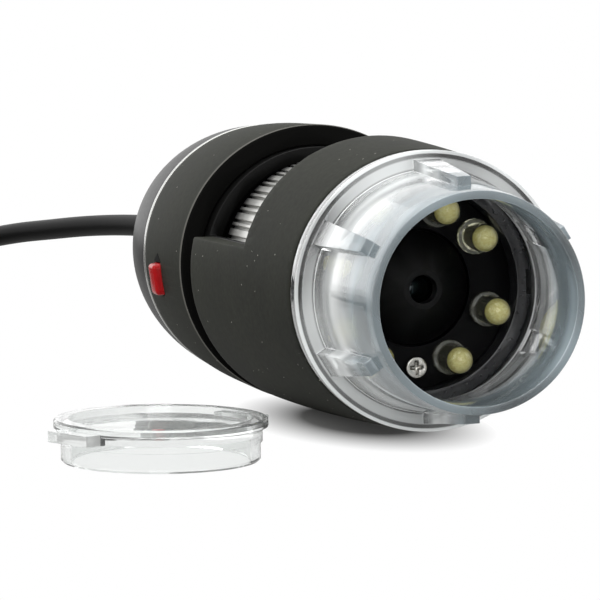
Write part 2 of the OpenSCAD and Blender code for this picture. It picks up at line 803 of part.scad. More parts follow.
// Profile of a lens: a flat face at station 0, a flat rim and a domed face
function lens_outline(h) =
  let (rise = h - lens_rim_h,
       ball_r = (pow(lens_clear_r, 2) + pow(rise, 2)) / (2 * rise),
       reach = asin(lens_clear_r / ball_r))
  concat(
    [[0, 0], [lens_r, 0], [lens_r, lens_rim_h]],
    [for (i = [curve_steps:-1:1])
      let (turn = reach * i / curve_steps)
      [ball_r * sin(turn), h - ball_r * (1 - cos(turn))]],
    [[0, h]]
  );

module front_lens() {
  color([0.75, 0.85, 0.9, 0.5])
    on_axis() translate([0, 0, lens_seat_t]) turned(lens_outline(front_lens_h));
}

module rear_lens() {
  color([0.75, 0.85, 0.9, 0.5])
    on_axis()
      translate([0, 0, retainer_t]) mirror([0, 0, 1]) turned(lens_outline(rear_lens_h));
}

module lens_spacer() {
  color([0.05, 0.05, 0.05]) on_axis() ring(lens_clear_r, lens_r, spacer_t, rear_lens_t);
}

module lens_retainer() {
  color([0.05, 0.05, 0.05])
    on_axis() ring(lens_clear_r - lens_rim_w, lens_r, retainer_t, retainer_t + retainer_len);
}

module follower_pins() {
  color([0.75, 0.75, 0.77])
    on_axis()
      for (clock = [0, 180]) at_clock(clock) radial_rod(pin_r, pin_t, bore_r, pin_out_r);
}

// Neck: joins the shells, carries the guide tube, the boards and the switch shelf
module neck_frame() {
  color([0.09, 0.09, 0.1])
    on_axis()
      difference() {
        union() {
          turned([
            [light_r, tube_end_t], [tube_flange_r, tube_end_t], [tube_flange_r, rear_t],
            [neck_r - neck_wall, rear_t], [neck_r - neck_wall, neck_t], [neck_r, neck_t],
            [neck_r, lip_t], [lip_r, lip_t], [lip_r, neck_end_t],
            [filter_r + easy_fit, neck_end_t], [filter_r + easy_fit, filter_t],
            [light_r, filter_t]
          ]);
          difference() {
            ring(neck_r - tongue_wall, neck_r, front_end_t - tongue_len, neck_t + neck_out / 2);
            block(window_low, neck_r + over, 2 * neck_r, front_end_t - tongue_len - over,
                  neck_t + neck_out / 4);
          }
          at_clock(button_clock)
            block(shelf_in_r, shelf_top_r, shelf_w, lip_t + over, button_t + switch_board_len / 2);
          for (clock = sensor_screw_clocks)
            at_clock(clock)
              translate([sensor_screw_r, 0, 0]) rod(boss_r, lip_t + over, sensor_board_t);
        }
        for (clock = frame_screw_clocks)
          at_clock(clock)
            translate([frame_screw_r, 0, 0])
              rod(screw_r + easy_fit, tube_end_t - over, neck_end_t + over);
        for (clock = sensor_screw_clocks)
          at_clock(clock)
            translate([sensor_screw_r, 0, 0])
              rod(screw_r + seat_fit, sensor_board_t - screw_bite - easy_fit, sensor_board_t + over);
      }
}

// Screws from the back: children sit with their heads behind the piece that they hold
module from_back(t) translate([0, 0, 2 * t]) mirror([0, 0, 1]) children();

module frame_screws() {
  color([0.8, 0.8, 0.82])
    on_axis()
      for (clock = frame_screw_clocks)
        at_clock(clock)
          translate([frame_screw_r, 0, 0])
            from_back(neck_end_t) screw(neck_end_t, neck_end_t - tube_end_t + screw_bite);
}

module ir_filter() {
  color([0.6, 0.8, 0.85, 0.5])
    on_axis() translate([0, 0, filter_t]) cylinder(h = filter_h, r = filter_r, $fn = round_fn);
}

// Round sensor board, notched for the switch shelf
module sensor_board() {
  color([0.05, 0.3, 0.15])
    on_axis()
      difference() {
        translate([0, 0, sensor_board_t])
          cylinder(h = board_h, r = sensor_board_r, $fn = round_fn);
        at_clock(button_clock)
          block(shelf_in_r - free_gap, sensor_board_r + over, shelf_w + 2 * free_gap,
                sensor_board_t - over, sensor_back_t + over);
        for (clock = sensor_screw_clocks)
          at_clock(clock)
            translate([sensor_screw_r, 0, 0])
              rod(screw_r + easy_fit, sensor_board_t - over, sensor_back_t + over);
      }
}

module image_sensor() {
  color([0.15, 0.16, 0.2])
    on_axis()
      block(-sensor_w / 2, sensor_w / 2, sensor_w, sensor_board_t - sensor_h, sensor_board_t);
}

module sensor_screws() {
  color([0.8, 0.8, 0.82])
    on_axis()
      for (clock = sensor_screw_clocks)
        at_clock(clock)
          translate([sensor_screw_r, 0, 0])
            from_back(sensor_back_t) screw(sensor_back_t, board_h + screw_bite);
}

module controller_chip() {
  color([0.08, 0.08, 0.08])
    on_axis()
      at_clock(button_clock + 180)
        block(socket_d / 2 + free_gap, socket_d / 2 + free_gap + chip_w, chip_w, sensor_back_t,
              sensor_back_t + chip_h);
}

module crystal_can() {
  color([0.8, 0.8, 0.82])
    on_axis()
      at_clock(button_clock + 90)
        translate([socket_w / 2 + free_gap + crystal_r, 0, 0])
          rod(crystal_r, sensor_back_t, sensor_back_t + crystal_len);
}

module cable_socket() {
  color([0.9, 0.9, 0.86])
    on_axis()
      at_clock(button_clock)
        block(-socket_d / 2, socket_d / 2, socket_w, sensor_back_t, sensor_back_t + socket_h);
}

// Cable inside the dome, from the socket to the gland
module inner_cable() {
  color([0.1, 0.1, 0.1])
    on_axis()
      rod(cord_r, sensor_back_t + socket_h, dome_end_t - dome_wall - gland_collar_h);
}

module switch_board() {
  color([0.05, 0.3, 0.15])
    on_axis()
      at_clock(button_clock)
        block(shelf_top_r, switch_in_r, shelf_w, button_t - switch_board_len / 2,
              button_t + switch_board_len / 2);
}

module tact_switch() {
  color([0.2, 0.2, 0.21])
    on_axis()
      at_clock(button_clock)
        difference() {
          block(switch_in_r, switch_top_r, switch_w, button_t - switch_w / 2, button_t + switch_w / 2);
          radial_rod(plunger_r + slide_fit, button_t, switch_in_r - over, switch_top_r + over);
        }
}

// Oblong with round corners
module oblong(l, w, corner) {
  square([l - 2 * corner, w], center = true);
  square([l, w - 2 * corner], center = true);
  for (x = [-1, 1], y = [-1, 1])
    translate([x * (l / 2 - corner), y * (w / 2 - corner)]) circle(r = corner, $fn = small_fn);
}

// Prism of the button's outline between two radii
module button_prism(grow, r0, r1)
  translate([r0, 0, button_t])
    rotate([0, 90, 0])
      linear_extrude(r1 - r0)
        oblong(button_d + 2 * grow, button_w + 2 * grow, button_corner + grow);

module snap_button() {
  color([0.75, 0.05, 0.1])
    on_axis()
      at_clock(button_clock)
        union() {
          button_prism(0, button_in_r, button_top_r);
          button_prism(button_flange_w, button_in_r, button_flange_top_r);
        }
}

module switch_plunger() {
  color([0.1, 0.1, 0.1])
    on_axis() at_clock(button_clock) radial_rod(plunger_r, button_t, plunger_in_r, button_in_r);
}

// Rear shell: a straight grip, a slight taper and the button's hole
module rear_shell() {
  taper_len = rear_end_t - grip_t;
  color([0.1, 0.1, 0.11])
    on_axis()
      difference() {
        turned(concat(
          [[neck_r + easy_fit, rear_t], [body_r - rim_bevel, rear_t],
           [body_r, rear_t + rim_bevel], [body_r, grip_t]],
          [for (i = [1:curve_steps])
            let (u = i / curve_steps)
            [body_r - rear_drop * u * u, grip_t + taper_len * u]],
          [[rear_bore_r, rear_end_t], [rear_bore_r, lip_t], [neck_r + easy_fit, lip_t]]
        ));
        at_clock(button_clock) button_prism(easy_fit, rear_bore_r - over, body_r + over);
      }
}

module trim_ring() {
  color([0.82, 0.82, 0.84]) on_axis() ring(rear_bore_r, trim_r, rear_end_t, dome_t);
}

// Curve of the dome: from radius r0 to the flat end over a length
function dome_curve(r0, flat, t0, len) = [
  for (i = [0:2 * curve_steps])
    let (turn = 90 * i / (2 * curve_steps))
    [flat + (r0 - flat) * cos(turn), t0 + len * sin(turn)]
];

module rear_dome() {
  spigot_r_out = rear_bore_r - easy_fit;
  inside = dome_curve(spigot_r_out - dome_wall, gland_collar_r + free_gap, dome_t,
                      dome_len - dome_wall);
  inside_back = [for (i = [len(inside) - 1:-1:0]) inside[i]];
  color([0.07, 0.07, 0.08])
    on_axis()
      turned(concat(
        [[spigot_r_out - dome_wall, rear_end_t - dome_spigot],
         [spigot_r_out, rear_end_t - dome_spigot], [spigot_r_out, dome_t]],
        dome_curve(rear_end_r, dome_flat_r, dome_t, dome_len),
        [[gland_r, dome_end_t], [gland_r, dome_end_t - dome_wall]],
        inside_back
      ));
}

// Rubber gland: a collar on each side of the dome's wall and a tapered boot
module cable_gland() {
  inner_t = dome_end_t - dome_wall;
  outer_t = dome_end_t + gland_collar_h;
  color([0.06, 0.06, 0.06])
    on_axis()
      turned([
        [0, inner_t - gland_collar_h], [gland_collar_r, inner_t - gland_collar_h],
        [gland_collar_r, inner_t], [gland_r, inner_t], [gland_r, dome_end_t],
        [gland_collar_r, dome_end_t], [gland_collar_r, outer_t], [gland_r, outer_t],
        [cord_r + rim_bevel, gland_end_t], [0, gland_end_t]
      ]);
}

// Triangles of a tube of rings, closed at both ends
function tube_faces(rings, sides) = concat(
  [for (i = [0:rings - 2], j = [0:sides - 1])
    let (a = i * sides + j, b = i * sides + (j + 1) % sides)
    each [[a, a + sides, b], [b, a + sides, b + sides]]],
  [for (j = [1:sides - 2]) [0, j, j + 1]],
  [for (j = [1:sides - 2])
    let (last = (rings - 1) * sides)
    [last, last + j + 1, last + j]]
);

function unit(v) = v / norm(v);

// Tangent at point i of a path
function heading(path, i) =
  unit(path[min(i + 1, len(path) - 1)] - path[max(i - 1, 0)]);

// Points of a round tube along a path that never stands upright
function tube_points(path, r, sides) = [
  for (i = [0:len(path) - 1])
    let (along = heading(path, i), across = unit(cross([0, 0, 1], along)),
         up = cross(along, across))
    for (j = [0:sides - 1])
      let (turn = 360 * j / sides)
      path[i] + r * (cos(turn) * across + sin(turn) * up)
];

module tube(path, r, sides) polyhedron(tube_points(path, r, sides), tube_faces(len(path), sides));

// Coil: the radius runs in and out again, and the cable climbs where it turns back
function coil_sweep(u) =
  let (w = u / coil_layer_turns, f = w - 2 * floor(w / 2))
  coil_layer_turns * (f <= 1 ? f : 2 - f);
function ease(x) = let (c = min(max(x, 0), 1)) c * c * (3 - 2 * c);
function coil_climb(u) =
  coil_layers < 2 ? 0 :
  coil_step * [for (k = [1:coil_layers - 1]) ease((u - k * coil_layer_turns) / climb_turns + 0.5)]
  * [for (k = [1:coil_layers - 1]) 1];
function coil_point(u) =
  let (turn = coil_start + 360 * u, r = coil_r - coil_step * coil_sweep(u))
  [coil_x + r * cos(turn), coil_y + r * sin(turn), coil_base_z + coil_climb(u)];
coil_count = round(coil_turns * coil_rings);
coil_wound = [for (i = [0:coil_count]) coil_point(i * coil_turns / coil_count)];
coil_path = concat(
  [coil_wound[0] + [0, cord_d, 0]], coil_wound, [coil_wound[coil_count] + [cord_d, 0, 0]]
);

// Least room between turns that lie at least half a turn apart
coil_gap = min([
  for (i = [0:coil_count], j = [i + coil_rings / 2:1:coil_count])
    norm(coil_wound[i] - coil_wound[j])
]) - cord_d;

module cable_lead() color([0.08, 0.08, 0.08]) tube(lead_points, cord_r, cord_sides);

module cable_coil() {
  echo(coil_least_gap = coil_gap);
  color([0.08, 0.08, 0.08]) tube(coil_path, cord_r, coil_sides);
}

module cable_tail() color([0.08, 0.08, 0.08]) tube(tail_points, cord_r, cord_sides);

// Flat tie round the coil's bundle
module coil_tie() {
  in_r = coil_in_r - cord_r - easy_fit;
  out_r = coil_r + cord_r + easy_fit;
  low = floor_z + tie_h;
  high = coil_top_z + cord_r + easy_fit;
  color([0.12, 0.12, 0.12])
    translate([coil_x, coil_y, 0])
      rotate([0, 0, tie_turn])
        difference() {
          translate([in_r - tie_h, -tie_w / 2, low - tie_h])
            cube([out_r - in_r + 2 * tie_h, tie_w, high - low + 2 * tie_h]);
          translate([in_r, -tie_w / 2 - over, low])
            cube([out_r - in_r, tie_w + 2 * over, high - low]);
        }
}

// Local frame of the plug: its length runs along +X from the end of the cable
module at_plug() translate([plug_x, plug_y, plug_z]) children();

module plug_grip() {
  corner = plug_h / 4;
  color([0.08, 0.08, 0.08])
    at_plug()
      difference() {
        union() {
          rotate([0, 90, 0])
            cylinder(h = relief_len + over, r1 = cord_r + rim_bevel, r2 = plug_h / 2 - rim_bevel,
                     $fn = small_fn);
          translate([relief_len, 0, 0])
            rotate([90, 0, 90]) linear_extrude(plug_len) oblong(plug_w, plug_h, corner);
        }
        for (k = [0:grip_grooves - 1], side = [0, 1])
          mirror([0, 0, side])
            translate([relief_len + plug_len / 4 + 2 * k * grip_groove_w, -plug_w / 2 + 1.5 * corner,
                       plug_h / 2 - grip_groove_d])
              cube([grip_groove_w, plug_w - 3 * corner, grip_groove_d + over]);
        for (k = [1:relief_rings])
          translate([k * relief_len / (relief_rings + 1), 0, 0])
            rotate([0, 90, 0])
              difference() {
                cylinder(h = grip_groove_w, r = plug_h, center = true, $fn = small_fn);
                cylinder(h = grip_groove_w + over, r = cord_r + rim_bevel, center = true,
                         $fn = small_fn);
              }
      }
}

// Bright shell with the two catch windows in its upper face
module plug_shell() {
  inside_w = plug_shell_w - 2 * plug_shell_wall;
  inside_h = plug_shell_h - 2 * plug_shell_wall;
  color([0.8, 0.8, 0.82])
    at_plug()
      translate([relief_len + plug_len, 0, 0])
        difference() {
          translate([0, -plug_shell_w / 2, -plug_shell_h / 2])
            cube([plug_shell_len, plug_shell_w, plug_shell_h]);
          translate([-over, -inside_w / 2, -inside_h / 2])
            cube([plug_shell_len + 2 * over, inside_w, inside_h]);
          for (side = [-1, 1])
            translate([plug_shell_len / 2, side * plug_shell_w / 4 - catch_w / 2, 0])
              cube([catch_w, catch_w, plug_shell_h]);
        }
}

// Insulator in the lower half of the plug's shell
tongue_low = -plug_shell_h / 2 + plug_shell_wall;
module plug_tongue() {
  tongue_w = plug_shell_w - 2 * plug_shell_wall - 2 * seat_fit;
  color([0.9, 0.9, 0.88])
    at_plug()
      translate([relief_len + plug_len, -tongue_w / 2, tongue_low])
        cube([plug_shell_len - rim_bevel, tongue_w, plug_tongue_h]);
}

// Four contacts on the insulator, at the places across it that every such plug has
contact_places = [-3.5, -1, 1, 3.5];
module plug_contacts() {
  color([0.85, 0.7, 0.3])
    at_plug()
      for (across = contact_places)
        translate([relief_len + plug_len, across - contact_w / 2, tongue_low + plug_tongue_h])
          cube([plug_shell_len - 2 * contact_w, contact_w, contact_h]);
}

nose_cover();
lens_cap();
front_shell();
bezel_ring();
led_board();
led_lamps();
led_legs();
board_screws();
lamp_mount();
guide_tube();
wheel_sleeve();
focus_wheel();
thrust_washer();
lens_barrel();
front_lens();
lens_spacer();
rear_lens();
lens_retainer();
follower_pins();
neck_frame();
frame_screws();
ir_filter();
sensor_board();
image_sensor();
sensor_screws();
controller_chip();
crystal_can();
cable_socket();
inner_cable();
switch_board();
tact_switch();
snap_button();
switch_plunger();
rear_shell();
trim_ring();
rear_dome();
cable_gland();
cable_lead();
cable_coil();
cable_tail();
coil_tie();
plug_grip();
plug_shell();
plug_tongue();
plug_contacts();
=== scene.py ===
# %% [markdown]
# # A handheld digital microscope on a white table
# The microscope lies on its side and looks almost straight at us with its clear nose. The cap of
# the nose lies beside it. The solid model is loaded first as a fixed frame, and everything that
# follows gives it finishes, small inner details, a cable, a floor, lamps and a camera.

# %% Load the frame
from math import atan2, cos, pi, radians, sin

import bpy
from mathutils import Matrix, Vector


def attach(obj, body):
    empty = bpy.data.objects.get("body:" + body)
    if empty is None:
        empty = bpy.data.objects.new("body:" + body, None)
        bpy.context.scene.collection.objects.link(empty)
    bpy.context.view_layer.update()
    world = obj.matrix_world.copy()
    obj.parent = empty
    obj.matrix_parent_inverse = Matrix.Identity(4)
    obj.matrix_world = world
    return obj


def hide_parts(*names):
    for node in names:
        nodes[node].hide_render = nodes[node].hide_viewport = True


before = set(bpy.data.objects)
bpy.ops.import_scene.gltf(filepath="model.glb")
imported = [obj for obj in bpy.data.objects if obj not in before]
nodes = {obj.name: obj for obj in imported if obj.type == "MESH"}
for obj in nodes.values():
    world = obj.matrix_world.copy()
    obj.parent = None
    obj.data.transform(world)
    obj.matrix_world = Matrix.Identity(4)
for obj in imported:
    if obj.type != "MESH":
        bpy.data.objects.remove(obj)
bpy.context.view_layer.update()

MM = 0.001
scene = bpy.context.scene
scene.view_settings.view_transform = "Standard"

# %% [markdown]
# ## Camera
# A product picture of something this small is taken from about a quarter of a metre with a long
# lens, so that the nose doesn't swell. The camera stands in front of the nose, a little to the
# side of the optical axis, and looks down by less than five degrees. Its place could be found by
# eye, but the round edges give it better: each shows as an ellipse, and how flat that is tells the
# angle from which it is seen.

# %% Place the camera
CAMERA_PLACE = Vector((241.7, -84.7, 21.5)) * MM
CAMERA_LOOK = Vector((-0.96107, 0.26368, -0.0826))
SENSOR_MM = 36
FOCAL_SHARE = 2600 / 600  # focal length over the width of the picture
NEAREST = 0.01  # metres
lens = bpy.data.cameras.new("camera")
lens.sensor_width = SENSOR_MM
lens.lens = SENSOR_MM * FOCAL_SHARE
lens.clip_start = NEAREST
camera = bpy.data.objects.new("camera", lens)
camera.location = CAMERA_PLACE
camera.rotation_euler = CAMERA_LOOK.to_track_quat("-Z", "Y").to_euler()
scene.collection.objects.link(camera)
scene.camera = camera
print("lens", round(lens.lens), "mm")

# %% [markdown]
# ## Adding nodes
# Every finish below is a small network of shader nodes. Colours are written as the hex values that
# a painter would pick on a screen, and one function turns them into the linear light that the
# renderer works in. Patterns are sized in millimetres: a texture scale of one means one feature per
# metre, so a grain of half a millimetre needs a scale of two thousand.

# %% Helpers for finishes
def linear(code):
    """A hex colour as linear red, green, blue and alpha."""
    parts = [int(code[i:i + 2], 16) / 255 for i in (1, 3, 5)]
    return [c / 12.92 if c <= 0.04045 else ((c + 0.055) / 1.055) ** 2.4 for c in parts] + [1]


def grain(size_mm):
    """The texture scale that makes features of about this size."""
    return 1 / (size_mm * MM)


def put(tree, kind, settings=None, links=None):
    """Adds a node, sets its options and sockets, and links its inputs."""
    node = tree.nodes.new(kind)
    for key, value in (settings or {}).items():
        if isinstance(key, str) and hasattr(node, key):
            setattr(node, key, value)
        else:
            node.inputs[key].default_value = value
    for key, source in (links or {}).items():
        tree.links.new(source, node.inputs[key])
    return node


def start_finish(name, sockets):
    """A new material with one shader, and the coordinates that its patterns use."""
    material = bpy.data.materials.new(name)
    material.use_nodes = True
    tree = material.node_tree
    tree.nodes.clear()
    shader = put(tree, "ShaderNodeBsdfPrincipled", sockets)
    put(tree, "ShaderNodeOutputMaterial", {}, {"Surface": shader.outputs[0]})
    place = put(tree, "ShaderNodeTexCoord").outputs["Object"]
    return material, tree, shader, place


# %% [markdown]
# ## Cable
# The lead is a slim four-core jacket, 3.2 mm thick. It leaves the gland straight, sags behind the
# microscope and goes down to a neat coil that holds the rest of its length, with the plug beside
# it. The route repeats the listed points of the solid model, and the coil is worked out turn by
# turn: the radius runs in and out again, and the cable climbs by one step where it turns back. A
# curve with a round bevel keeps the length true. The bevel is one metre and each point's radius
# scales it down, because Blender also measures the curve's box by that radius.

# %% Route of the cable
CORD_D = 3.2
FLOOR_Z = -16.75
COIL_X, COIL_Y, COIL_R = -172, -62, 23
COIL_LIFT = 0.8  # room for the strap under the coil
TURN_GAP = 0.6
COIL_STEP = CORD_D + TURN_GAP
COIL_LAYERS, LAYER_TURNS = 4, 2.5625
CLIMB_TURNS = 0.5  # how much of a turn the cable takes to climb to the next layer
COIL_Z = FLOOR_Z + COIL_LIFT + CORD_D / 2
COIL_TOP = COIL_Z + COIL_STEP * (COIL_LAYERS - 1)
PLUG_Z = FLOOR_Z + 4
LEAD = [(-117.95, 0, 0), (-121.15, 0, 0), (-124, -1, 0.3), (-129, -2.4, 0.5), (-136, -4.8, 0.6),
        (-143, -7.8, 0.4), (-150, -11.4, -0.1), (-157, -15.4, -0.9), (-164, -19.6, -1.8),
        (-171, -24.2, -3.2), (-178, -29.6, -5.4), (-184, -35.4, -8), (-189, -41.4, -10.8),
        (-193, -47.6, -13.2), (-195, -54, COIL_Z), (-195, -58.8, COIL_Z)]
TAIL = [(-168.8, -85, COIL_TOP), (-164, -85, COIL_TOP), (-157, -84.5, -4), (-150, -83.3, -6),
        (-143, -81.7, -8.4), (-136, -80, -10.6), (-130, -78.9, -12.2), (-124.5, -78.5, PLUG_Z),
        (-120, -78.5, PLUG_Z)]
print("lead of", len(LEAD), "points, tail of", len(TAIL))

# %% Turns of the coil
POINTS_PER_TURN = 40


def eased(x):
    """A smooth step from 0 to 1."""
    x = min(max(x, 0), 1)
    return x * x * (3 - 2 * x)


def coil_point(turns):
    """A point of the coil after so many turns."""
    fold = turns / LAYER_TURNS % 2
    radius = COIL_R - COIL_STEP * LAYER_TURNS * (fold if fold <= 1 else 2 - fold)
    climb = sum(eased((turns - k * LAYER_TURNS) / CLIMB_TURNS + 0.5)
                for k in range(1, COIL_LAYERS))
    angle = pi + 2 * pi * turns
    return (COIL_X + radius * cos(angle), COIL_Y + radius * sin(angle), COIL_Z + COIL_STEP * climb)


turn_count = COIL_LAYERS * LAYER_TURNS
coil_count = round(turn_count * POINTS_PER_TURN)
coil = [Vector(coil_point(i * turn_count / coil_count)) for i in range(coil_count + 1)]
print("coil of", turn_count, "turns")

# %% Smooth line through all points
STEPS_BETWEEN = 5


def through(points):
    """Points of a smooth line through the given ones."""
    pts = [Vector(p) for p in points]
    pts = [2 * pts[0] - pts[1]] + pts + [2 * pts[-1] - pts[-2]]
    line = []
    for a, b, c, d in zip(pts, pts[1:], pts[2:], pts[3:]):
        for i in range(STEPS_BETWEEN):
            u = i / STEPS_BETWEEN
            line.append((2 * b + (c - a) * u + (2 * a - 5 * b + 4 * c - d) * u ** 2
                         + (3 * b - a - 3 * c + d) * u ** 3) / 2)
    return line + [pts[-2]]


route = [p * MM for p in through(LEAD) + coil + through(TAIL)]

# %% Draw the cable
cable_curve = bpy.data.curves.new("cable", "CURVE")
cable_curve.dimensions = "3D"
cable_curve.bevel_depth = 1.0
cable_curve.bevel_resolution = 5
cable_curve.use_fill_caps = True
spline = cable_curve.splines.new("POLY")
spline.points.add(len(route) - 1)
for point, place in zip(spline.points, route):
    point.co = (*place, 1)
    point.radius = CORD_D / 2 * MM
spline.use_smooth = True
cable = bpy.data.objects.new("cable", cable_curve)
scene.collection.objects.link(cable)
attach(cable, "housing")
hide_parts("cable_lead", "cable_coil", "cable_tail")

# %% [markdown]
# ## Strap round the coil
# A strip of hook-and-loop tape holds the coil. It is soft, so it hugs the bundle: its loop is the
# outline that a band pulled tight round the cable's turns would take, and its free end lies on top
# of its first stretch. A cloth simulation could wrap it, but this outline is plain geometry: the
# turns are cut at the strap's angle, a tight loop is laid round the cuts and a thin ribbon is swept
# along it.

# %% Loop of the strap
STRAP_TURN = radians(45)
STRAP_W, STRAP_H = 5, 0.6
STRAP_ROOM, LAYER_ROOM = 0.15, 0.05  # gaps in mm to the cable, and between the two layers
STRAP_OVERLAP = 0.3
START_CORNER = 2
BEND_STEP = radians(9)
first_turn = (STRAP_TURN - pi) / (2 * pi) % 1
cuts = []
for k in range(int(turn_count - first_turn) + 1):
    x, y, z = coil_point(first_turn + k)
    cuts.append(((x - COIL_X) * cos(STRAP_TURN) + (y - COIL_Y) * sin(STRAP_TURN), z))


def tight(points):
    """The corners that a tight band round the points touches, anticlockwise from the lowest."""
    at = min(points, key=lambda p: (p[1], p[0]))
    corners, heading = [], 0
    while not corners or at != corners[0]:
        corners.append(at)
        ways = [(atan2(p[1] - at[1], p[0] - at[0]), p) for p in points if p != at]
        heading, at = min(((a - heading) % (2 * pi) + heading, p) for a, p in ways)
    return corners


def snug_loop(corners, gap):
    """A line round the corners that keeps this gap, with round bends."""
    points = []
    for before, here, after in zip(corners[-1:] + corners, corners, corners[1:] + corners[:1]):
        start = atan2(here[1] - before[1], here[0] - before[0]) - pi / 2
        bend = (atan2(after[1] - here[1], after[0] - here[0]) - pi / 2 - start) % (2 * pi)
        parts = max(2, round(bend / BEND_STEP))
        for i in range(parts + 1):
            way = start + bend * i / parts
            points.append((here[0] + gap * cos(way), here[1] + gap * sin(way)))
    return points


corners = tight(cuts)
corners = corners[START_CORNER:] + corners[:START_CORNER]
lifts = (0, STRAP_H, 2 * STRAP_H + LAYER_ROOM)
loops = [snug_loop(corners, CORD_D / 2 + STRAP_ROOM + lift) for lift in lifts]
loop_count = len(loops[0])
strap_steps = round(loop_count * (1 + STRAP_OVERLAP))
print("strap touches", len(corners), "of", len(cuts), "cuts")

# %% Ribbon of the strap
SECTION = (  # share of the tape's thickness, and the place across it as a share of its width
    (0, -0.445), (0, 0.445), (0.2, 0.4984), (0.8, 0.4984),
    (1, 0.445), (1, -0.445), (0.8, -0.4984), (0.2, -0.4984),
)
CLIMB_STEPS = 6  # the free end climbs onto the first stretch within so many steps
STRAP_CREASE = radians(50)
ribbon, quads = [], []
for i in range(strap_steps + 1):
    climb = eased((i - loop_count + CLIMB_STEPS) / CLIMB_STEPS)
    bottom, middle, top = (loop[i % loop_count] for loop in loops)
    under = [a + (b - a) * climb for a, b in zip(bottom, middle)]
    over = [a + (b - a) * climb for a, b in zip(middle, top)]
    for share, side in SECTION:
        r, z = (a + (b - a) * share for a, b in zip(under, over))
        off = side * STRAP_W
        ribbon.append(((COIL_X + r * cos(STRAP_TURN) - off * sin(STRAP_TURN)) * MM,
                       (COIL_Y + r * sin(STRAP_TURN) + off * cos(STRAP_TURN)) * MM, z * MM))
wide = len(SECTION)
for i in range(strap_steps):
    for j in range(wide):
        k = (j + 1) % wide
        quads.append((i * wide + j, i * wide + k, (i + 1) * wide + k, (i + 1) * wide + j))
last = strap_steps * wide
quads += [tuple(range(wide)), tuple(range(last + wide - 1, last - 1, -1))]
strap_mesh = bpy.data.meshes.new("cable_strap")
strap_mesh.from_pydata(ribbon, [], quads)
strap_mesh.shade_smooth()
strap_mesh.set_sharp_from_angle(angle=STRAP_CREASE)
strap = bpy.data.objects.new("cable_strap", strap_mesh)
scene.collection.objects.link(strap)
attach(strap, "housing")
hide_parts("coil_tie")
print("strap", len(quads), "faces")

# %% [markdown]
# ## Table and sky
# The picture has a pure white ground with a soft grey shadow that hugs the shell. The floor is a
# matt grey sheet in three small patches: under the body, the coil and the plug. There it takes the
# real shadow, and its grey, darker than the white around it, adds a painted shadow.
# Outside them it fades into plain white for the eye and for clear plastic, like a paper sweep that
# is lit from behind. The sky does the same: white to look at, and a softer grey as a lamp and in
# reflections. The light path node tells these rays apart. More light could bleach the floor too,
# but it would bleach the object with it.

# %% Floor
REACH = 0.5
floor_corners = ((-REACH, -REACH), (REACH, -REACH), (REACH, REACH), (-REACH, REACH))
floor_mesh = bpy.data.meshes.new("floor")
floor_mesh.from_pydata([(x, y, FLOOR_Z * MM) for x, y in floor_corners], [], [(0, 1, 2, 3)])
floor = bpy.data.objects.new("floor", floor_mesh)
scene.collection.objects.link(floor)
print("floor at", FLOOR_Z, "mm")

# %% Paper of the floor
SHADED = (  # middle in mm, squeeze along and across, reach of the full shadow and of its end in mm
    ((-41, 0), (0.5, 1), 6, 13.5),
    ((COIL_X, COIL_Y), (1, 1), 20, 36),
    ((-104, -78.5), (0.45, 1), 4, 14),
)
FAR_LIGHT = 0.35  # share of its white that the far floor gives as a lamp and in reflections
SHEET_GLOW = 0.02
paper = bpy.data.materials.new("white_paper_sheet")
paper.use_nodes = True
tree = paper.node_tree
tree.nodes.clear()
path = put(tree, "ShaderNodeLightPath")
seen = put(tree, "ShaderNodeMath", {"operation": "MAXIMUM"},
           {0: path.outputs["Is Camera Ray"], 1: path.outputs["Is Transmission Ray"]})
spot = put(tree, "ShaderNodeTexCoord").outputs["Object"]
fade = None
for middle, squeeze, full, end in SHADED:
    centre = (middle[0] * MM, middle[1] * MM, 0)
    moved = put(tree, "ShaderNodeVectorMath", {"operation": "SUBTRACT", 1: centre}, {0: spot})
    flat = put(tree, "ShaderNodeVectorMath", {"operation": "MULTIPLY", 1: (*squeeze, 0)},
               {0: moved.outputs[0]})
    away = put(tree, "ShaderNodeVectorMath", {"operation": "LENGTH"}, {0: flat.outputs[0]})
    ring = put(tree, "ShaderNodeMapRange", {"From Min": full * MM, "From Max": end * MM},
               {"Value": away.outputs["Value"]})
    fade = ring if fade is None else put(tree, "ShaderNodeMath", {"operation": "MINIMUM"},
                                         {0: fade.outputs[0], 1: ring.outputs[0]})
share = put(tree, "ShaderNodeMapRange", {"To Min": FAR_LIGHT, "To Max": 1.0},
            {"Value": seen.outputs[0]})
far = put(tree, "ShaderNodeMath", {"operation": "MULTIPLY"},
          {0: fade.outputs[0], 1: share.outputs[0]})
glow = put(tree, "ShaderNodeMath", {"operation": "MULTIPLY", 1: SHEET_GLOW}, {0: seen.outputs[0]})
# painted shadow: inside the patches the sheet is grey, darker than the white floor around them
sheet = put(tree, "ShaderNodeBsdfDiffuse", {"Color": linear("#A2A2A0")})
shine = put(tree, "ShaderNodeEmission", {"Color": linear("#FFFFFF")}, {"Strength": glow.outputs[0]})
both = put(tree, "ShaderNodeAddShader", {}, {0: sheet.outputs[0], 1: shine.outputs[0]})
sweep = put(tree, "ShaderNodeEmission", {"Color": linear("#FFFFFF"), "Strength": 1.0})
whole = put(tree, "ShaderNodeMixShader", {},
            {0: far.outputs[0], 1: both.outputs[0], 2: sweep.outputs[0]})
put(tree, "ShaderNodeOutputMaterial", {}, {"Surface": whole.outputs[0]})
floor_mesh.materials.append(paper)
print(paper.name, "with", len(SHADED), "shaded patches")

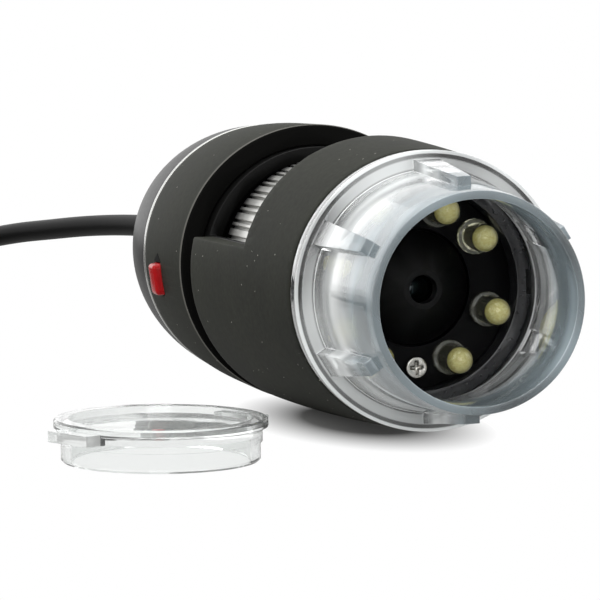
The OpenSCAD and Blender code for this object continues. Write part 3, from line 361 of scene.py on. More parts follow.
# %% Sky
SKY_LIGHT, SKY_GLOSS = 0.55, 0.7  # strength as a lamp, and what reflections see on top of it
sky = bpy.data.worlds.new("white_room")
sky.use_nodes = True
scene.world = sky
tree = sky.node_tree
tree.nodes.clear()
path = put(tree, "ShaderNodeLightPath")
seen = put(tree, "ShaderNodeMath", {"operation": "MAXIMUM"},
           {0: path.outputs["Is Camera Ray"], 1: path.outputs["Is Transmission Ray"]})
soft = put(tree, "ShaderNodeMath", {"operation": "MULTIPLY_ADD", 1: SKY_GLOSS, 2: SKY_LIGHT},
           {0: path.outputs["Is Glossy Ray"]})
level = put(tree, "ShaderNodeMapRange", {"To Max": 1.0},
            {"Value": seen.outputs[0], "To Min": soft.outputs[0]})
air = put(tree, "ShaderNodeBackground", {"Color": linear("#FFFFFF")},
          {"Strength": level.outputs[0]})
put(tree, "ShaderNodeOutputWorld", {}, {"Surface": air.outputs[0]})
print(sky.name)

# %% [markdown]
# ## Lamps
# Five square lamps stand round the table. A wide one hangs overhead and gives most of the light,
# two weaker ones stand at the sides and draw the long highlights on the clear nose. A small one in
# front reaches into the mouth of the nose, and a faint one behind lifts the rear edges. Small lamps
# would give hard shadows and sparks, so all of these are wide for an object of this size.

# %% Lamps
LAMPS = {  # place in metres, width, watts
    "overhead": ((-0.1, -0.1, 0.62), 0.7, 3.9),
    "left": ((0.25, -0.7, 0.35), 0.5, 1.6),
    "right": ((0.35, 0.6, 0.4), 0.5, 1.2),
    "behind": ((-0.6, -0.24, 0.2), 0.4, 0.3),
    "front": ((0.5, -0.12, 0.16), 0.3, 0.7),
}
for name, (place, width, watts) in LAMPS.items():
    light = bpy.data.lights.new(name, "AREA")
    light.shape = "SQUARE"
    light.size = width
    light.energy = watts
    lamp = bpy.data.objects.new(name, light)
    lamp.location = place
    lamp.rotation_euler = (-Vector(place)).to_track_quat("-Z", "Y").to_euler()
    scene.collection.objects.link(lamp)
print("lamps", sorted(LAMPS))

# %% [markdown]
# ## Soft edges on the solid parts
# Moulded and turned parts never have knife edges: a radius of a tenth of a millimetre or more
# catches a thin line of light. The frame's parts arrive as triangles whose faces aren't joined, so
# a short stack of modifiers joins them, clears the flat triangles, rounds the sharp edges and
# shades the rest smoothly. The nose keeps its triangles, because light bends through them. The part
# itself stays as it is.

# %% Smooth shading with creases
CREASE_ANGLE = radians(32)
shading = bpy.data.node_groups.new("shade_by_edge", "GeometryNodeTree")
shading.interface.new_socket("Geometry", in_out="INPUT", socket_type="NodeSocketGeometry")
shading.interface.new_socket("Geometry", in_out="OUTPUT", socket_type="NodeSocketGeometry")
came_in = put(shading, "NodeGroupInput")
plain = put(shading, "GeometryNodeRemoveAttribute", {"Name": "custom_normal"},
            {"Geometry": came_in.outputs[0]})
smooth = put(shading, "GeometryNodeSetShadeSmooth", {"domain": "FACE"},
             {"Geometry": plain.outputs[0]})
angle = put(shading, "GeometryNodeInputMeshEdgeAngle")
sharp = put(shading, "FunctionNodeCompare", {"operation": "GREATER_THAN", 1: CREASE_ANGLE},
            {0: angle.outputs["Unsigned Angle"]})
creased = put(shading, "GeometryNodeSetShadeSmooth", {"domain": "EDGE", "Shade Smooth": False},
              {"Geometry": smooth.outputs[0], "Selection": sharp.outputs[0]})
put(shading, "NodeGroupOutput", {}, {0: creased.outputs[0]})
print(shading.name)

# %% Rounding by modifiers
SHARP_ANGLE = radians(35)
FLAT_ANGLE = radians(0.4)
JOIN_REACH = 1e-6  # metres
EDGE_STEPS = 3
KEEPS_TRIANGLES = "nose_cover"
ROUNDED = {  # edge radius in mm
    "front_shell": 0.22, "rear_shell": 0.18, "rear_dome": 0.15, "trim_ring": 0.1,
    "bezel_ring": 0.12, "cable_gland": 0.25, "lens_barrel": 0.08, "snap_button": 0.52,
    "plug_grip": 0.22, "plug_shell": 0.1, "plug_tongue": 0.15, "plug_contacts": 0.05,
    "board_screws": 0.18, "neck_frame": 0.15, "focus_wheel": 0.07, "nose_cover": 0.1,
    "led_lamps": 0.1,
}


def soften(name, radius_mm):
    """Joins a part's faces, rounds its sharp edges and shades it smoothly."""
    stack = nodes[name].modifiers
    stack.new("join", "WELD").merge_threshold = JOIN_REACH
    if radius_mm and name != KEEPS_TRIANGLES:
        flat = stack.new("flat", "DECIMATE")
        flat.decimate_type = "DISSOLVE"
        flat.angle_limit = FLAT_ANGLE
    if radius_mm:
        edge = stack.new("edge", "BEVEL")
        edge.width = radius_mm * MM
        edge.segments = EDGE_STEPS
        edge.limit_method = "ANGLE"
        edge.angle_limit = SHARP_ANGLE
        edge.use_clamp_overlap = False
    stack.new("shade", "NODES").node_group = shading


shown = [n for n in nodes if not nodes[n].hide_render]
for name in shown:
    soften(name, ROUNDED.get(name, 0))
print("softened", len(ROUNDED), "of", len(shown))

# %% [markdown]
# ## Soft-touch coat on moulded ABS
# The two shells are ABS, sprayed with a rubbery paint. It scatters nearly all of its gloss, so the
# black turns charcoal where it faces a bright room, and it holds on to dust: a few pale specks sit
# in the grain. The wall in the groove between the shells is painted near black as painted shade,
# and the edge behind the groove is painted as a paler line, a painted highlight. A pattern of cells
# gives the specks, because single cells can be picked from it. The grain and the specks are drawn
# two or three times as coarse as real ones, so that they show.

# %% Soft-touch coat: colour and dust
COAT_TONES = ((0.35, "#242521"), (0.65, "#2D2E29"))
soft_touch, tree, shader, place = start_finish("soft_touch_coat_on_moulded_abs", {
    "IOR": 1.48, "Specular IOR Level": 0.035})
cloud = put(tree, "ShaderNodeTexNoise", {"Scale": grain(11), "Detail": 4.0}, {"Vector": place})
tone = put(tree, "ShaderNodeValToRGB", {}, {"Fac": cloud.outputs[0]})
for element, (at, code) in zip(tone.color_ramp.elements, COAT_TONES):
    element.position = at
    element.color = linear(code)
fleck = put(tree, "ShaderNodeTexNoise", {"Scale": grain(0.55), "Detail": 3.0}, {"Vector": place})
worn = put(tree, "ShaderNodeMapRange", {
    "From Min": 0.3, "From Max": 0.7, "To Min": 0.84, "To Max": 1.16}, {"Value": fleck.outputs[0]})
mottled = put(tree, "ShaderNodeHueSaturation", {},
              {"Color": tone.outputs[0], "Value": worn.outputs[0]})
cell = put(tree, "ShaderNodeTexVoronoi", {"Scale": grain(1.5)}, {"Vector": place})
near = put(tree, "ShaderNodeMath", {"operation": "LESS_THAN", 1: 0.055},
           {0: cell.outputs["Distance"]})
pick = put(tree, "ShaderNodeSeparateColor", {}, {0: cell.outputs["Color"]})
rare = put(tree, "ShaderNodeMath", {"operation": "GREATER_THAN", 1: 0.35}, {0: pick.outputs[0]})
speck = put(tree, "ShaderNodeMath", {"operation": "MULTIPLY"},
            {0: near.outputs[0], 1: rare.outputs[0]})
dusty = put(tree, "ShaderNodeMix", {"data_type": "RGBA", 7: linear("#B0ADA5")},
            {0: speck.outputs[0], 6: mottled.outputs[0]})
print(soft_touch.name)

# %% Soft-touch coat: painted edge highlight, painted groove shade and grain
GROOVE_REAR, GROOVE_MIDDLE, GROOVE_FRONT = -60.1, -58, -55.4  # stations in mm
# painted highlight: a paler line on the rear shell's edge just behind the groove
HIGHLIGHT_START, HIGHLIGHT_END, HIGHLIGHT_SHARE = -60.6, -60.2, 0.75
spot = put(tree, "ShaderNodeSeparateXYZ", {}, {0: place})
rub = put(tree, "ShaderNodeMapRange", {
    "From Min": HIGHLIGHT_START * MM, "From Max": HIGHLIGHT_END * MM, "To Max": HIGHLIGHT_SHARE},
    {"Value": spot.outputs[0]})
rear = put(tree, "ShaderNodeMath", {"operation": "LESS_THAN", 1: GROOVE_MIDDLE * MM},
           {0: spot.outputs[0]})
painted_highlight = put(tree, "ShaderNodeMath", {"operation": "MULTIPLY"},
             {0: rub.outputs[0], 1: rear.outputs[0]})
polished = put(tree, "ShaderNodeMix", {"data_type": "RGBA", 7: linear("#6E6D68")},
               {0: painted_highlight.outputs[0], 6: dusty.outputs[2]})
# painted shade: the wall in the groove between the shells is made near black
after_rear = put(tree, "ShaderNodeMath", {"operation": "GREATER_THAN", 1: GROOVE_REAR * MM},
                 {0: spot.outputs[0]})
before_front = put(tree, "ShaderNodeMath", {"operation": "LESS_THAN", 1: GROOVE_FRONT * MM},
                   {0: spot.outputs[0]})
wall = put(tree, "ShaderNodeMath", {"operation": "MULTIPLY"},
           {0: after_rear.outputs[0], 1: before_front.outputs[0]})
painted_groove_shade = put(tree, "ShaderNodeMix", {"data_type": "RGBA", 7: linear("#0B0B0A")},
           {0: wall.outputs[0], 6: polished.outputs[2]})
gloss = put(tree, "ShaderNodeMapRange", {"To Min": 0.52, "To Max": 0.66},
            {"Value": cloud.outputs[0]})
pores = put(tree, "ShaderNodeTexNoise", {"Scale": grain(0.3), "Detail": 2.0}, {"Vector": place})
bump = put(tree, "ShaderNodeBump", {"Strength": 0.25, "Distance": 0.02 * MM},
           {"Height": pores.outputs[0]})
tree.links.new(painted_groove_shade.outputs[2], shader.inputs["Base Color"])
tree.links.new(gloss.outputs[0], shader.inputs["Roughness"])
tree.links.new(bump.outputs[0], shader.inputs["Normal"])
print("groove from", GROOVE_REAR, "to", GROOVE_FRONT, "mm")

# %% [markdown]
# ## Satin ABS
# The dome, the neck and the other black mouldings come straight from a lightly etched mould. The
# etching leaves a fine grain and a satin gloss that gathers in soft highlights. The grain is drawn
# at a third of a millimetre, coarser than in life, so that it shows. One noise drives colour, gloss
# and bump, because on a real etched face they change together.

# %% Satin moulded ABS
satin_abs, tree, shader, place = start_finish("etched_moulded_abs", {
    "IOR": 1.5, "Specular IOR Level": 0.08})
etch = put(tree, "ShaderNodeTexNoise", {"Scale": grain(0.35), "Detail": 3.0}, {"Vector": place})
tone = put(tree, "ShaderNodeMix", {
    "data_type": "RGBA", 6: linear("#080808"), 7: linear("#0C0C0B")}, {0: etch.outputs[0]})
gloss = put(tree, "ShaderNodeMapRange", {"To Min": 0.3, "To Max": 0.42}, {"Value": etch.outputs[0]})
bump = put(tree, "ShaderNodeBump", {"Strength": 0.2, "Distance": 0.02 * MM},
           {"Height": etch.outputs[0]})
tree.links.new(tone.outputs[2], shader.inputs["Base Color"])
tree.links.new(gloss.outputs[0], shader.inputs["Roughness"])
tree.links.new(bump.outputs[0], shader.inputs["Normal"])
print(satin_abs.name)

# %% [markdown]
# ## Clear polycarbonate
# The nose is moulded in clear polycarbonate. Its outer skin is slightly milky, in streaks that run
# round it, and the edge of the flange and the spigot are quite clear. Towards the mouth it turns
# grey-blue and a little frosted, because light travels along the thick wall there, and cut ends are
# tinted most. Inside the wall nothing is milky, so the skin is told from the inside by the side of
# the face that a ray meets. A clear share runs along the wall, along the bore and across the
# flange, each as a ramp of a few stops.

# %% Clear polycarbonate: tint and gloss
TINT_START, TINT_END = -9.5, -5  # stations in mm
FROST_START, FROST_END = -7, -4
ENDS_START = -8
FACES_AXIS = -4  # normal times radius in mm: less than this is a face of the bore
clear_nose, tree, shader, place = start_finish("clear_moulded_polycarbonate", {
    "IOR": 1.55, "Coat Weight": 0.6, "Coat Roughness": 0.03})
normal = place.node.outputs["Normal"]
spot = put(tree, "ShaderNodeSeparateXYZ", {}, {0: place})
radial = put(tree, "ShaderNodeVectorMath", {"operation": "MULTIPLY", 1: (0, 1, 1)}, {0: place})
turn = put(tree, "ShaderNodeVectorMath", {"operation": "DOT_PRODUCT"},
           {0: normal, 1: radial.outputs[0]})
inner = put(tree, "ShaderNodeMath", {"operation": "LESS_THAN", 1: FACES_AXIS * MM},
            {0: turn.outputs["Value"]})
mouth = put(tree, "ShaderNodeMapRange", {"From Min": TINT_START * MM, "From Max": TINT_END * MM},
            {"Value": spot.outputs[0]})
outer_tone = put(tree, "ShaderNodeMix", {
    "data_type": "RGBA", 6: linear("#F0F3F3"), 7: linear("#A9B7BD")}, {0: mouth.outputs[0]})
bore_tone = put(tree, "ShaderNodeMix", {
    "data_type": "RGBA", 6: linear("#FBFCFC"), 7: linear("#B8C6CC")}, {0: mouth.outputs[0]})
tone = put(tree, "ShaderNodeMix", {"data_type": "RGBA"},
           {0: inner.outputs[0], 6: outer_tone.outputs[2], 7: bore_tone.outputs[2]})
faced = put(tree, "ShaderNodeSeparateXYZ", {}, {0: normal})
ahead = put(tree, "ShaderNodeMapRange", {"From Min": 0.7, "From Max": 0.95},
            {"Value": faced.outputs[0]})
front = put(tree, "ShaderNodeMath", {"operation": "GREATER_THAN", 1: ENDS_START * MM},
            {0: spot.outputs[0]})
ends = put(tree, "ShaderNodeMath", {"operation": "MULTIPLY"},
           {0: ahead.outputs[0], 1: front.outputs[0]})
cut = put(tree, "ShaderNodeMix", {"data_type": "RGBA", 7: linear("#A0AFB6")},
          {0: ends.outputs[0], 6: tone.outputs[2]})
gloss = put(tree, "ShaderNodeMapRange", {
    "From Min": FROST_START * MM, "From Max": FROST_END * MM, "To Min": 0.03, "To Max": 0.2},
    {"Value": spot.outputs[0]})
tree.links.new(cut.outputs[2], shader.inputs["Base Color"])
tree.links.new(gloss.outputs[0], shader.inputs["Roughness"])
print(clear_nose.name)

# %% Clear polycarbonate: how clear it is
WALL = ((0, 0.85), (0.08, 0.8), (0.2, 0.4), (0.4, 0.42), (0.55, 0.6), (1, 0.6))
BORE = ((0, 0.65), (0.12, 0.7), (0.27, 0.85), (0.5, 0.75), (0.65, 0.5), (1, 0.5))
LIP = ((0, 0.12), (0.04, 0.92), (0.15, 0.45), (0.58, 0.5), (0.66, 0.93), (0.8, 0.93), (0.85, 0.2),
       (1, 0.2))
WALL_END, LIP_END, HOOP_END, SPIGOT_START = -15.3, -15.2, -15.5, -17.2  # stations in mm
LIP_IN, HOOP_IN, LIP_OUT = 12.7, 14, 14.75  # radii in mm
CLEAR_EDGE = 0.93
along = put(tree, "ShaderNodeMapRange", {"From Min": WALL_END * MM, "From Max": 0},
            {"Value": spot.outputs[0]})
reach = put(tree, "ShaderNodeVectorMath", {"operation": "LENGTH"}, {0: radial.outputs[0]})
out = put(tree, "ShaderNodeMapRange", {"From Min": LIP_IN * MM, "From Max": LIP_OUT * MM},
          {"Value": reach.outputs["Value"]})
ramps = []
for stops, source in ((WALL, along), (LIP, out), (BORE, along)):
    ramp = put(tree, "ShaderNodeValToRGB", {}, {"Fac": source.outputs[0]})
    for at, _ in stops[1:-1]:
        ramp.color_ramp.elements.new(at)
    for element, (_, share) in zip(ramp.color_ramp.elements, stops):
        element.color = (share, share, share, 1)
    ramps.append(ramp.outputs[0])
wall_share, lip_share, bore_share = ramps
lip = put(tree, "ShaderNodeMath", {"operation": "LESS_THAN", 1: LIP_END * MM}, {0: spot.outputs[0]})
whole = put(tree, "ShaderNodeMix", {"data_type": "FLOAT"},
            {0: lip.outputs[0], 2: wall_share, 3: lip_share})
outside = put(tree, "ShaderNodeMath", {"operation": "GREATER_THAN", 1: HOOP_IN * MM},
              {0: reach.outputs["Value"]})
deep = put(tree, "ShaderNodeMath", {"operation": "LESS_THAN", 1: HOOP_END * MM},
           {0: spot.outputs[0]})
hoop = put(tree, "ShaderNodeMath", {"operation": "MULTIPLY"},
           {0: outside.outputs[0], 1: deep.outputs[0]})
spigot = put(tree, "ShaderNodeMath", {"operation": "LESS_THAN", 1: SPIGOT_START * MM},
             {0: spot.outputs[0]})
edge = put(tree, "ShaderNodeMath", {"operation": "MAXIMUM"},
           {0: hoop.outputs[0], 1: spigot.outputs[0]})
rimmed = put(tree, "ShaderNodeMix", {"data_type": "FLOAT", 3: CLEAR_EDGE},
             {0: edge.outputs[0], 2: whole.outputs[0]})
lined = put(tree, "ShaderNodeMix", {"data_type": "FLOAT"},
            {0: inner.outputs[0], 2: rimmed.outputs[0], 3: bore_share})
print("ramps", len(ramps))

# %% Clear polycarbonate: streaks and waves
STREAK_DRAW = (3.5, 1, 1)  # streaks are this much shorter along the axis than round it
STREAK_SWING = 0.28
CLEAR_WITHIN = 0.97
drawn = put(tree, "ShaderNodeVectorMath", {"operation": "MULTIPLY", 1: STREAK_DRAW}, {0: place})
streak = put(tree, "ShaderNodeTexNoise", {"Scale": grain(13), "Detail": 1.0},
             {"Vector": drawn.outputs[0]})
swing = put(tree, "ShaderNodeMapRange", {
    "From Min": 0.3, "From Max": 0.7, "To Min": -STREAK_SWING, "To Max": STREAK_SWING},
    {"Value": streak.outputs[0]})
skin = put(tree, "ShaderNodeMath", {"operation": "ADD", "use_clamp": True},
           {0: lined.outputs[0], 1: swing.outputs[0]})
within = put(tree, "ShaderNodeNewGeometry").outputs["Backfacing"]
clear = put(tree, "ShaderNodeMix", {"data_type": "FLOAT", 3: CLEAR_WITHIN},
            {0: within, 2: skin.outputs[0]})
wave = put(tree, "ShaderNodeTexNoise", {"Scale": grain(7), "Detail": 1.0}, {"Vector": place})
ripple = put(tree, "ShaderNodeBump", {"Strength": 0.12, "Distance": 0.15 * MM},
             {"Height": wave.outputs[0]})
bump = put(tree, "ShaderNodeBump", {"Strength": 0.1, "Distance": 0.1 * MM},
           {"Height": streak.outputs[0], "Normal": ripple.outputs[0]})
tree.links.new(clear.outputs[0], shader.inputs["Transmission Weight"])
tree.links.new(bump.outputs[0], shader.inputs["Normal"])
print("nose has", len(tree.nodes), "nodes")

# %% [markdown]
# ## Clear polystyrene
# The cap is a thin, cheap, very clear moulding. It is hardly there except for its edges, where it
# bends the white room and the dark shell into bright and dark lines. Plain transparency would lose
# those lines, so the light is really bent here. The rim and the lugs, outside the round window,
# have a faint grey-white haze from the mould.

# %% Clear polystyrene of the cap
CAP_MIDDLE = (-16.5 * MM, -28.6 * MM, 0)
WINDOW_END, RIM_START = 10.95, 11.05  # radii in mm
WINDOW_CLEAR, RIM_CLEAR = 0.95, 0.5
clear_cap, tree, shader, place = start_finish("clear_moulded_polystyrene", {
    "IOR": 1.5, "Base Color": linear("#F1F3F2")})
flat = put(tree, "ShaderNodeVectorMath", {"operation": "MULTIPLY", 1: (1, 1, 0)}, {0: place})
from_middle = put(tree, "ShaderNodeVectorMath", {"operation": "DISTANCE", 1: CAP_MIDDLE},
                  {0: flat.outputs[0]})
clear = put(tree, "ShaderNodeMapRange", {
    "From Min": WINDOW_END * MM, "From Max": RIM_START * MM,
    "To Min": WINDOW_CLEAR, "To Max": RIM_CLEAR}, {"Value": from_middle.outputs["Value"]})
wave = put(tree, "ShaderNodeTexNoise", {"Scale": grain(3), "Detail": 1.0}, {"Vector": place})
gloss = put(tree, "ShaderNodeMapRange", {"To Min": 0.01, "To Max": 0.05},
            {"Value": wave.outputs[0]})
bump = put(tree, "ShaderNodeBump", {"Strength": 0.08, "Distance": 0.2 * MM},
           {"Height": wave.outputs[0]})
tree.links.new(gloss.outputs[0], shader.inputs["Roughness"])
tree.links.new(clear.outputs[0], shader.inputs["Transmission Weight"])
tree.links.new(bump.outputs[0], shader.inputs["Normal"])
print(clear_cap.name)

# %% [markdown]
# ## Metals
# The focus wheel is bright turned aluminium, cut into ribs and then faced, so fine rings run round
# it, and its rear edge beside the rear shell is darkened as painted shade. The trim ring is chrome
# on plastic. Pins, cans and the plug's shell are nickel-plated steel, the screws are zinc-plated,
# the lamps' legs are silver over copper and the contacts are gold over brass. A metal keeps the
# default refractive index, and its colour is all in its reflection. A noise that is stretched
# across the axis gives the rings, a few tenths of a millimetre apart, which is coarser than in
# life so that they show.

# %% Metals
METALS = {  # hex, least roughness, most roughness, ring spacing in mm
    # a cutting tool leaves fine bright rings that break up the highlight
    "turned_aluminium": ("#C6C6C2", 0.22, 0.42, 0.25),
    # plating on smooth plastic is an even, slightly dark mirror
    "chrome_plated_abs": ("#ABABA8", 0.14, 0.24, 0.8),
    # dull plating spreads its highlight into a warm grey
    "nickel_plated_steel": ("#A6A39E", 0.24, 0.4, 0.4),
    # bright plating on small heads has sharp sparks of light
    "zinc_plated_screw": ("#A3A19C", 0.12, 0.24, 0.3),
    # silver is the brightest metal here and shines through the lamps' epoxy
    "silver_plated_copper": ("#DEDCD6", 0.1, 0.2, 0.3),
    # thin gold is warm yellow and half polished
    "gold_plated_brass": ("#E0B65A", 0.16, 0.28, 0.4),
}
RING_DRAW = (1, 0.06, 0.06)  # rings are long round the axis and short along it
RING_DARK, RING_PALE = 0.88, 1.04
metals = {}
for name, (code, least, most, spacing) in METALS.items():
    metals[name], tree, shader, place = start_finish(name, {"Metallic": 1.0})
    along = put(tree, "ShaderNodeVectorMath", {"operation": "MULTIPLY", 1: RING_DRAW}, {0: place})
    rings = put(tree, "ShaderNodeTexNoise", {"Scale": grain(spacing), "Detail": 2.0},
                {"Vector": along.outputs[0]})
    value = put(tree, "ShaderNodeMapRange", {"To Min": RING_DARK, "To Max": RING_PALE},
                {"Value": rings.outputs[0]})
    tone = put(tree, "ShaderNodeHueSaturation", {"Color": linear(code)},
               {"Value": value.outputs[0]})
    gloss = put(tree, "ShaderNodeMapRange", {"To Min": least, "To Max": most},
                {"Value": rings.outputs[0]})
    bump = put(tree, "ShaderNodeBump", {"Strength": 0.12, "Distance": 0.01 * MM},
               {"Height": rings.outputs[0]})
    tree.links.new(tone.outputs[0], shader.inputs["Base Color"])
    tree.links.new(gloss.outputs[0], shader.inputs["Roughness"])
    tree.links.new(bump.outputs[0], shader.inputs["Normal"])
print("metals", len(metals))

# %% Painted shade on the rear edge of the wheel
WHEEL_EDGE, SHADE_RUN = -54.2, 3.2  # the rear end in mm, and how far the painted shade reaches from it
SHADE_DEPTH = 0.95
tree = metals["turned_aluminium"].node_tree
shader = tree.nodes["Principled BSDF"]
unshaded_colour = shader.inputs["Base Color"].links[0].from_socket
place = put(tree, "ShaderNodeTexCoord").outputs["Object"]
spot = put(tree, "ShaderNodeSeparateXYZ", {}, {0: place})
# painted shade: the colour darkens to near black towards the rear edge, beside the rear shell
painted_shade = put(tree, "ShaderNodeMapRange", {
    "interpolation_type": "SMOOTHSTEP", "From Min": WHEEL_EDGE * MM,
    "From Max": (WHEEL_EDGE + SHADE_RUN) * MM, "To Min": SHADE_DEPTH, "To Max": 0.0},
    {"Value": spot.outputs[0]})
shaded_wheel = put(tree, "ShaderNodeMix", {"data_type": "RGBA", 7: linear("#121211")},
            {0: painted_shade.outputs[0], 6: unshaded_colour})
tree.links.new(shaded_wheel.outputs[2], shader.inputs["Base Color"])
print("wheel edge", WHEEL_EDGE, "mm")

# %% [markdown]
# ## Small mouldings, boards and glass
# These finishes differ only in colour, gloss and grain: ABS for the button and the bezel, PVC for
# the cable, rubber for the gland and the plug, looped tape for the strap, solder mask on the
# boards, epoxy on the chips, nylon for the socket and the plug's insulator. Each has a fine mottle
# that keeps it from looking like a flat swatch, drawn a little coarser than in life so that it
# shows.

# %% Coloured mouldings and boards
MOULDED = {  # darker hex, lighter hex, roughness, grain in mm, bump height in mm, specular level
    # dyed through and moulded smooth: a deep red with a soft shine on its round edges
    "moulded_red_abs": ("#960A0E", "#AC0E14", 0.24, 0.5, 0.01, 0.12),
    # from a polished mould: dark grey with bright smears of the room
    "moulded_grey_black_abs": ("#19191B", "#272729", 0.22, 0.4, 0.03, 0.5),
    # drawn warm through a die: black with a dull, slightly uneven shine
    "extruded_pvc_jacket": ("#0C0C0C", "#121212", 0.46, 0.4, 0.02, 0.12),
    # from a blasted mould: nearly black and almost without shine
    "moulded_rubber": ("#0F0F0F", "#141413", 0.6, 0.35, 0.025, 0.35),
    # dyed oxide: a velvet black that swallows stray light
    "black_anodised_aluminium": ("#030303", "#060606", 0.45, 0.3, 0.01, 0.12),
    # printed lacquer: deep black with little shine
    "black_solder_mask": ("#020203", "#050506", 0.34, 0.6, 0.012, 0.05),
    # printed lacquer: clear green, glossy like wet paint
    "green_solder_mask": ("#0F4A2A", "#135A33", 0.3, 0.6, 0.012, 0.5),
    # pressed round the chip: matt charcoal
    "moulded_chip_epoxy": ("#141414", "#1C1C1C", 0.55, 0.2, 0.01, 0.4),
    # undyed nylon: warm white with a waxy shine
    "moulded_white_nylon": ("#DAD7CC", "#E6E3D9", 0.42, 0.5, 0.012, 0.5),
    # powder stirred into resin: mottled pale yellow
    "phosphor_in_epoxy": ("#C9B63C", "#FFFFC6", 0.4, 0.24, 0.03, 0.5),
    # a pile of small loops: black, rough and fuzzy
    "looped_nylon_tape": ("#0B0B0C", "#1E1E20", 0.85, 0.45, 0.12, 0.2),
    # a thin printed film: matt black
    "black_screen_ink": ("#040404", "#070707", 0.5, 0.3, 0.005, 0.02),
}
GLOSS_SWING = 0.06
moulded = {}
for name, (dark, pale, rough, size, height, level) in MOULDED.items():
    moulded[name], tree, shader, place = start_finish(name, {"Specular IOR Level": level})
    mottle = put(tree, "ShaderNodeTexNoise", {"Scale": grain(size), "Detail": 3.0},
                 {"Vector": place})
    tone = put(tree, "ShaderNodeMix", {"data_type": "RGBA", 6: linear(dark), 7: linear(pale)},
               {0: mottle.outputs[0]})
    gloss = put(tree, "ShaderNodeMapRange", {
        "To Min": rough - GLOSS_SWING, "To Max": rough + GLOSS_SWING}, {"Value": mottle.outputs[0]})
    bump = put(tree, "ShaderNodeBump", {"Strength": 0.3, "Distance": height * MM},
               {"Height": mottle.outputs[0]})
    tree.links.new(tone.outputs[2], shader.inputs["Base Color"])
    tree.links.new(gloss.outputs[0], shader.inputs["Roughness"])
    tree.links.new(bump.outputs[0], shader.inputs["Normal"])
print("mouldings", len(moulded))

# %% Cast epoxy of the lamps and polished glass
GLASSES = {  # hex, index, least roughness, most roughness, specular level, clear share
    # cast in a smooth mould: clear with a trace of yellow and bright edges
    "cast_clear_epoxy": ("#FCFADC", 1.53, 0.01, 0.04, 0.6, 0.95),
    # ground and coated: nearly without reflection, so the barrel behind it stays dark
    "polished_optical_glass": ("#9DA6A8", 1.52, 0.0, 0.02, 0.02, 1.0),
}
HAZE_SIZE = 1.2
glasses = {}
for name, (code, index, least, most, level, share) in GLASSES.items():
    glasses[name], tree, shader, place = start_finish(name, {
        "IOR": index, "Transmission Weight": share, "Specular IOR Level": level,
        "Base Color": linear(code)})
    haze = put(tree, "ShaderNodeTexNoise", {"Scale": grain(HAZE_SIZE)}, {"Vector": place})
    gloss = put(tree, "ShaderNodeMapRange", {"To Min": least, "To Max": most},
                {"Value": haze.outputs[0]})
    tree.links.new(gloss.outputs[0], shader.inputs["Roughness"])
print("glasses", len(glasses))

# %% [markdown]
# ## Dressing the solid parts
# Every part of the frame gets the finish of the real one, also those that the shells hide. Each
# finish lists its parts, and the count that is printed shows whether one was forgotten.

# %% Give each part its finish
WEARS = {
    soft_touch: ["front_shell", "rear_shell"],
    moulded["moulded_grey_black_abs"]: ["bezel_ring"],
    satin_abs: ["rear_dome", "neck_frame", "lamp_mount", "guide_tube", "wheel_sleeve",
                "tact_switch", "switch_plunger"],
    clear_nose: ["nose_cover"],
    clear_cap: ["lens_cap"],
    metals["turned_aluminium"]: ["focus_wheel"],
    metals["chrome_plated_abs"]: ["trim_ring"],
    metals["zinc_plated_screw"]: ["board_screws", "frame_screws", "sensor_screws"],
    metals["nickel_plated_steel"]: ["follower_pins", "thrust_washer", "crystal_can", "plug_shell"],
    metals["silver_plated_copper"]: ["led_legs"],
    metals["gold_plated_brass"]: ["plug_contacts"],
    moulded["moulded_red_abs"]: ["snap_button"],
    moulded["extruded_pvc_jacket"]: ["inner_cable", "coil_tie", "cable_lead", "cable_coil",
                                     "cable_tail"],
    moulded["moulded_rubber"]: ["cable_gland", "plug_grip"],
    moulded["black_anodised_aluminium"]: ["lens_barrel", "lens_spacer", "lens_retainer"],
    moulded["black_solder_mask"]: ["led_board"],
    moulded["green_solder_mask"]: ["sensor_board", "switch_board"],
    moulded["moulded_chip_epoxy"]: ["image_sensor", "controller_chip"],
    moulded["moulded_white_nylon"]: ["cable_socket", "plug_tongue"],
    glasses["cast_clear_epoxy"]: ["led_lamps"],
    glasses["polished_optical_glass"]: ["front_lens", "rear_lens", "ir_filter"],
}
dressed = 0
for finish, names in WEARS.items():
    for name in names:
        slots = nodes[name].data.materials
        slots.clear()
        slots.append(finish)
        dressed += 1
cable_curve.materials.append(moulded["extruded_pvc_jacket"])
strap_mesh.materials.append(moulded["looped_nylon_tape"])
print("dressed", dressed, "of", len(nodes), "parts")

# %% [markdown]
# ## Inside the lamps
# A white lamp is a blue chip under a drop of yellow phosphor, set in clear epoxy. The round end of
# the epoxy works as a magnifier and fills itself with the yellow, while the foot stays clear and
# shows the bright lead frame. The drop and the frame are turned shapes, one of each in every lamp.

# %% A turned shape
def turned(profile, across, steps):
    """Points and faces of a closed turned shape. The profile has stations and radii in mm."""
    points, faces, rings = [], [], []
    for station, radius in profile:
        if radius == 0:
            rings.append([len(points)] * steps)
            points.append((-station * MM, across[0] * MM, across[1] * MM))
        else:
            rings.append([len(points) + i for i in range(steps)])
            points += [(-station * MM, (across[0] + radius * cos(2 * pi * i / steps)) * MM,
                        (across[1] + radius * sin(2 * pi * i / steps)) * MM) for i in range(steps)]
    for a, b in zip(rings, rings[1:]):
        for i in range(steps):
            j = (i + 1) % steps
            faces.append(list(dict.fromkeys((a[i], a[j], b[j], b[i]))))
    return points, faces


PIECE_CREASE = radians(35)


def make_piece(name, shapes, finish, body):
    """One object from several shapes, shaded smoothly up to a crease, that rides on a body."""
    points, faces = [], []
    for shape_points, shape_faces in shapes:
        faces += [[len(points) + i for i in face] for face in shape_faces]
        points += shape_points
    mesh = bpy.data.meshes.new(name)
    mesh.from_pydata(points, [], faces)
    mesh.shade_smooth()
    mesh.set_sharp_from_angle(angle=PIECE_CREASE)
    mesh.materials.append(finish)
    piece = bpy.data.objects.new(name, mesh)
    scene.collection.objects.link(piece)
    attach(piece, body)
    print(name, len(faces), "faces")


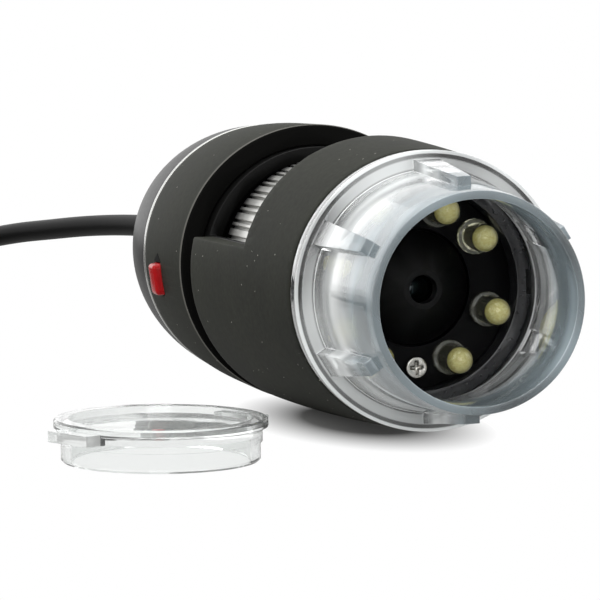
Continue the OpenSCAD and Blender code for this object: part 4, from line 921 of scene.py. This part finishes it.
# %% Phosphor drops and lead frames
LAMP_CLOCKS, LAMP_CIRCLE = (38, 73, 118, 163, 208, 237, 298, 343), 8.6
LAMP_TIP, LAMP_FOOT = 16.4, 21.6  # stations in mm
DROP_R, DROP_SKIN = 0.86, 0.6
DROP_EDGE, DROP_END, DROP_INSET = 0.35, 0.45, 0.12  # behind the drop's centre, and the rim's inset
CUP_FACE, CUP_NECK, CUP_FOOT = 0.55, 1, 0.1  # behind the centre twice, and before the lamp's foot
CUP_RADII = (0.75, 0.45, 0.3)
DROP_STEPS, CUP_STEPS = 28, 20
centre = LAMP_TIP + DROP_SKIN + DROP_R
drop = [(centre - DROP_R * cos(radians(a)), DROP_R * sin(radians(a))) for a in range(0, 91, 10)]
drop += [(centre + DROP_EDGE, DROP_R), (centre + DROP_END, DROP_R - DROP_INSET),
         (centre + DROP_END, 0)]
cup_stations = (centre + CUP_FACE, centre + CUP_NECK, LAMP_FOOT - CUP_FOOT)
cup = [(cup_stations[0], 0), *zip(cup_stations, CUP_RADII), (cup_stations[-1], 0)]
lamp_places = [(LAMP_CIRCLE * cos(radians(c)), LAMP_CIRCLE * sin(radians(c))) for c in LAMP_CLOCKS]
make_piece("phosphor_drops", [turned(drop, p, DROP_STEPS) for p in lamp_places],
           moulded["phosphor_in_epoxy"], "housing")
make_piece("lead_frames", [turned(cup, p, CUP_STEPS) for p in lamp_places],
           metals["silver_plated_copper"], "housing")

# %% [markdown]
# ## Pointer by the button
# A small black triangle on the rear shell points away from the button. It is screen printed, so it
# follows the round of the shell and is only a few hundredths of a millimetre thick. The shell's
# finish could paint it, but a thin piece of its own keeps crisp edges. Its rows of points run round
# the shell from a wide base to the tip, once above the paint and once below it.

# %% Printed pointer
POINTER_T, POINTER_HALF, TIP_HALF = 72.75, 1.85, 0.02
POINTER_BASE, POINTER_TIP = 181.2, 177.7  # clock angles in degrees
SHELL_R, INK, ROOT = 16.74, 0.04, 0.12
POINTER_ROWS = 6
ink_points, ink_faces = [], []
for layer in (SHELL_R + INK, SHELL_R - ROOT):
    for i in range(POINTER_ROWS + 1):
        share = i / POINTER_ROWS
        clock = radians(POINTER_BASE + (POINTER_TIP - POINTER_BASE) * share)
        half = POINTER_HALF * (1 - share) + TIP_HALF
        ink_points += [(-(POINTER_T + side * half) * MM, layer * cos(clock) * MM,
                        layer * sin(clock) * MM) for side in (-1, 1)]
deep = 2 * (POINTER_ROWS + 1)  # the first point of the lower layer
for a in range(0, 2 * POINTER_ROWS, 2):
    b = deep + a
    ink_faces += [(a, a + 1, a + 3, a + 2), (b, b + 2, b + 3, b + 1),
                  (a, a + 2, b + 2, b), (a + 1, b + 1, b + 3, a + 3)]
ink_faces += [(0, deep, deep + 1, 1), (deep - 2, deep - 1, 2 * deep - 1, 2 * deep - 2)]
make_piece("button_pointer", [(ink_points, ink_faces)], moulded["black_screen_ink"], "housing")
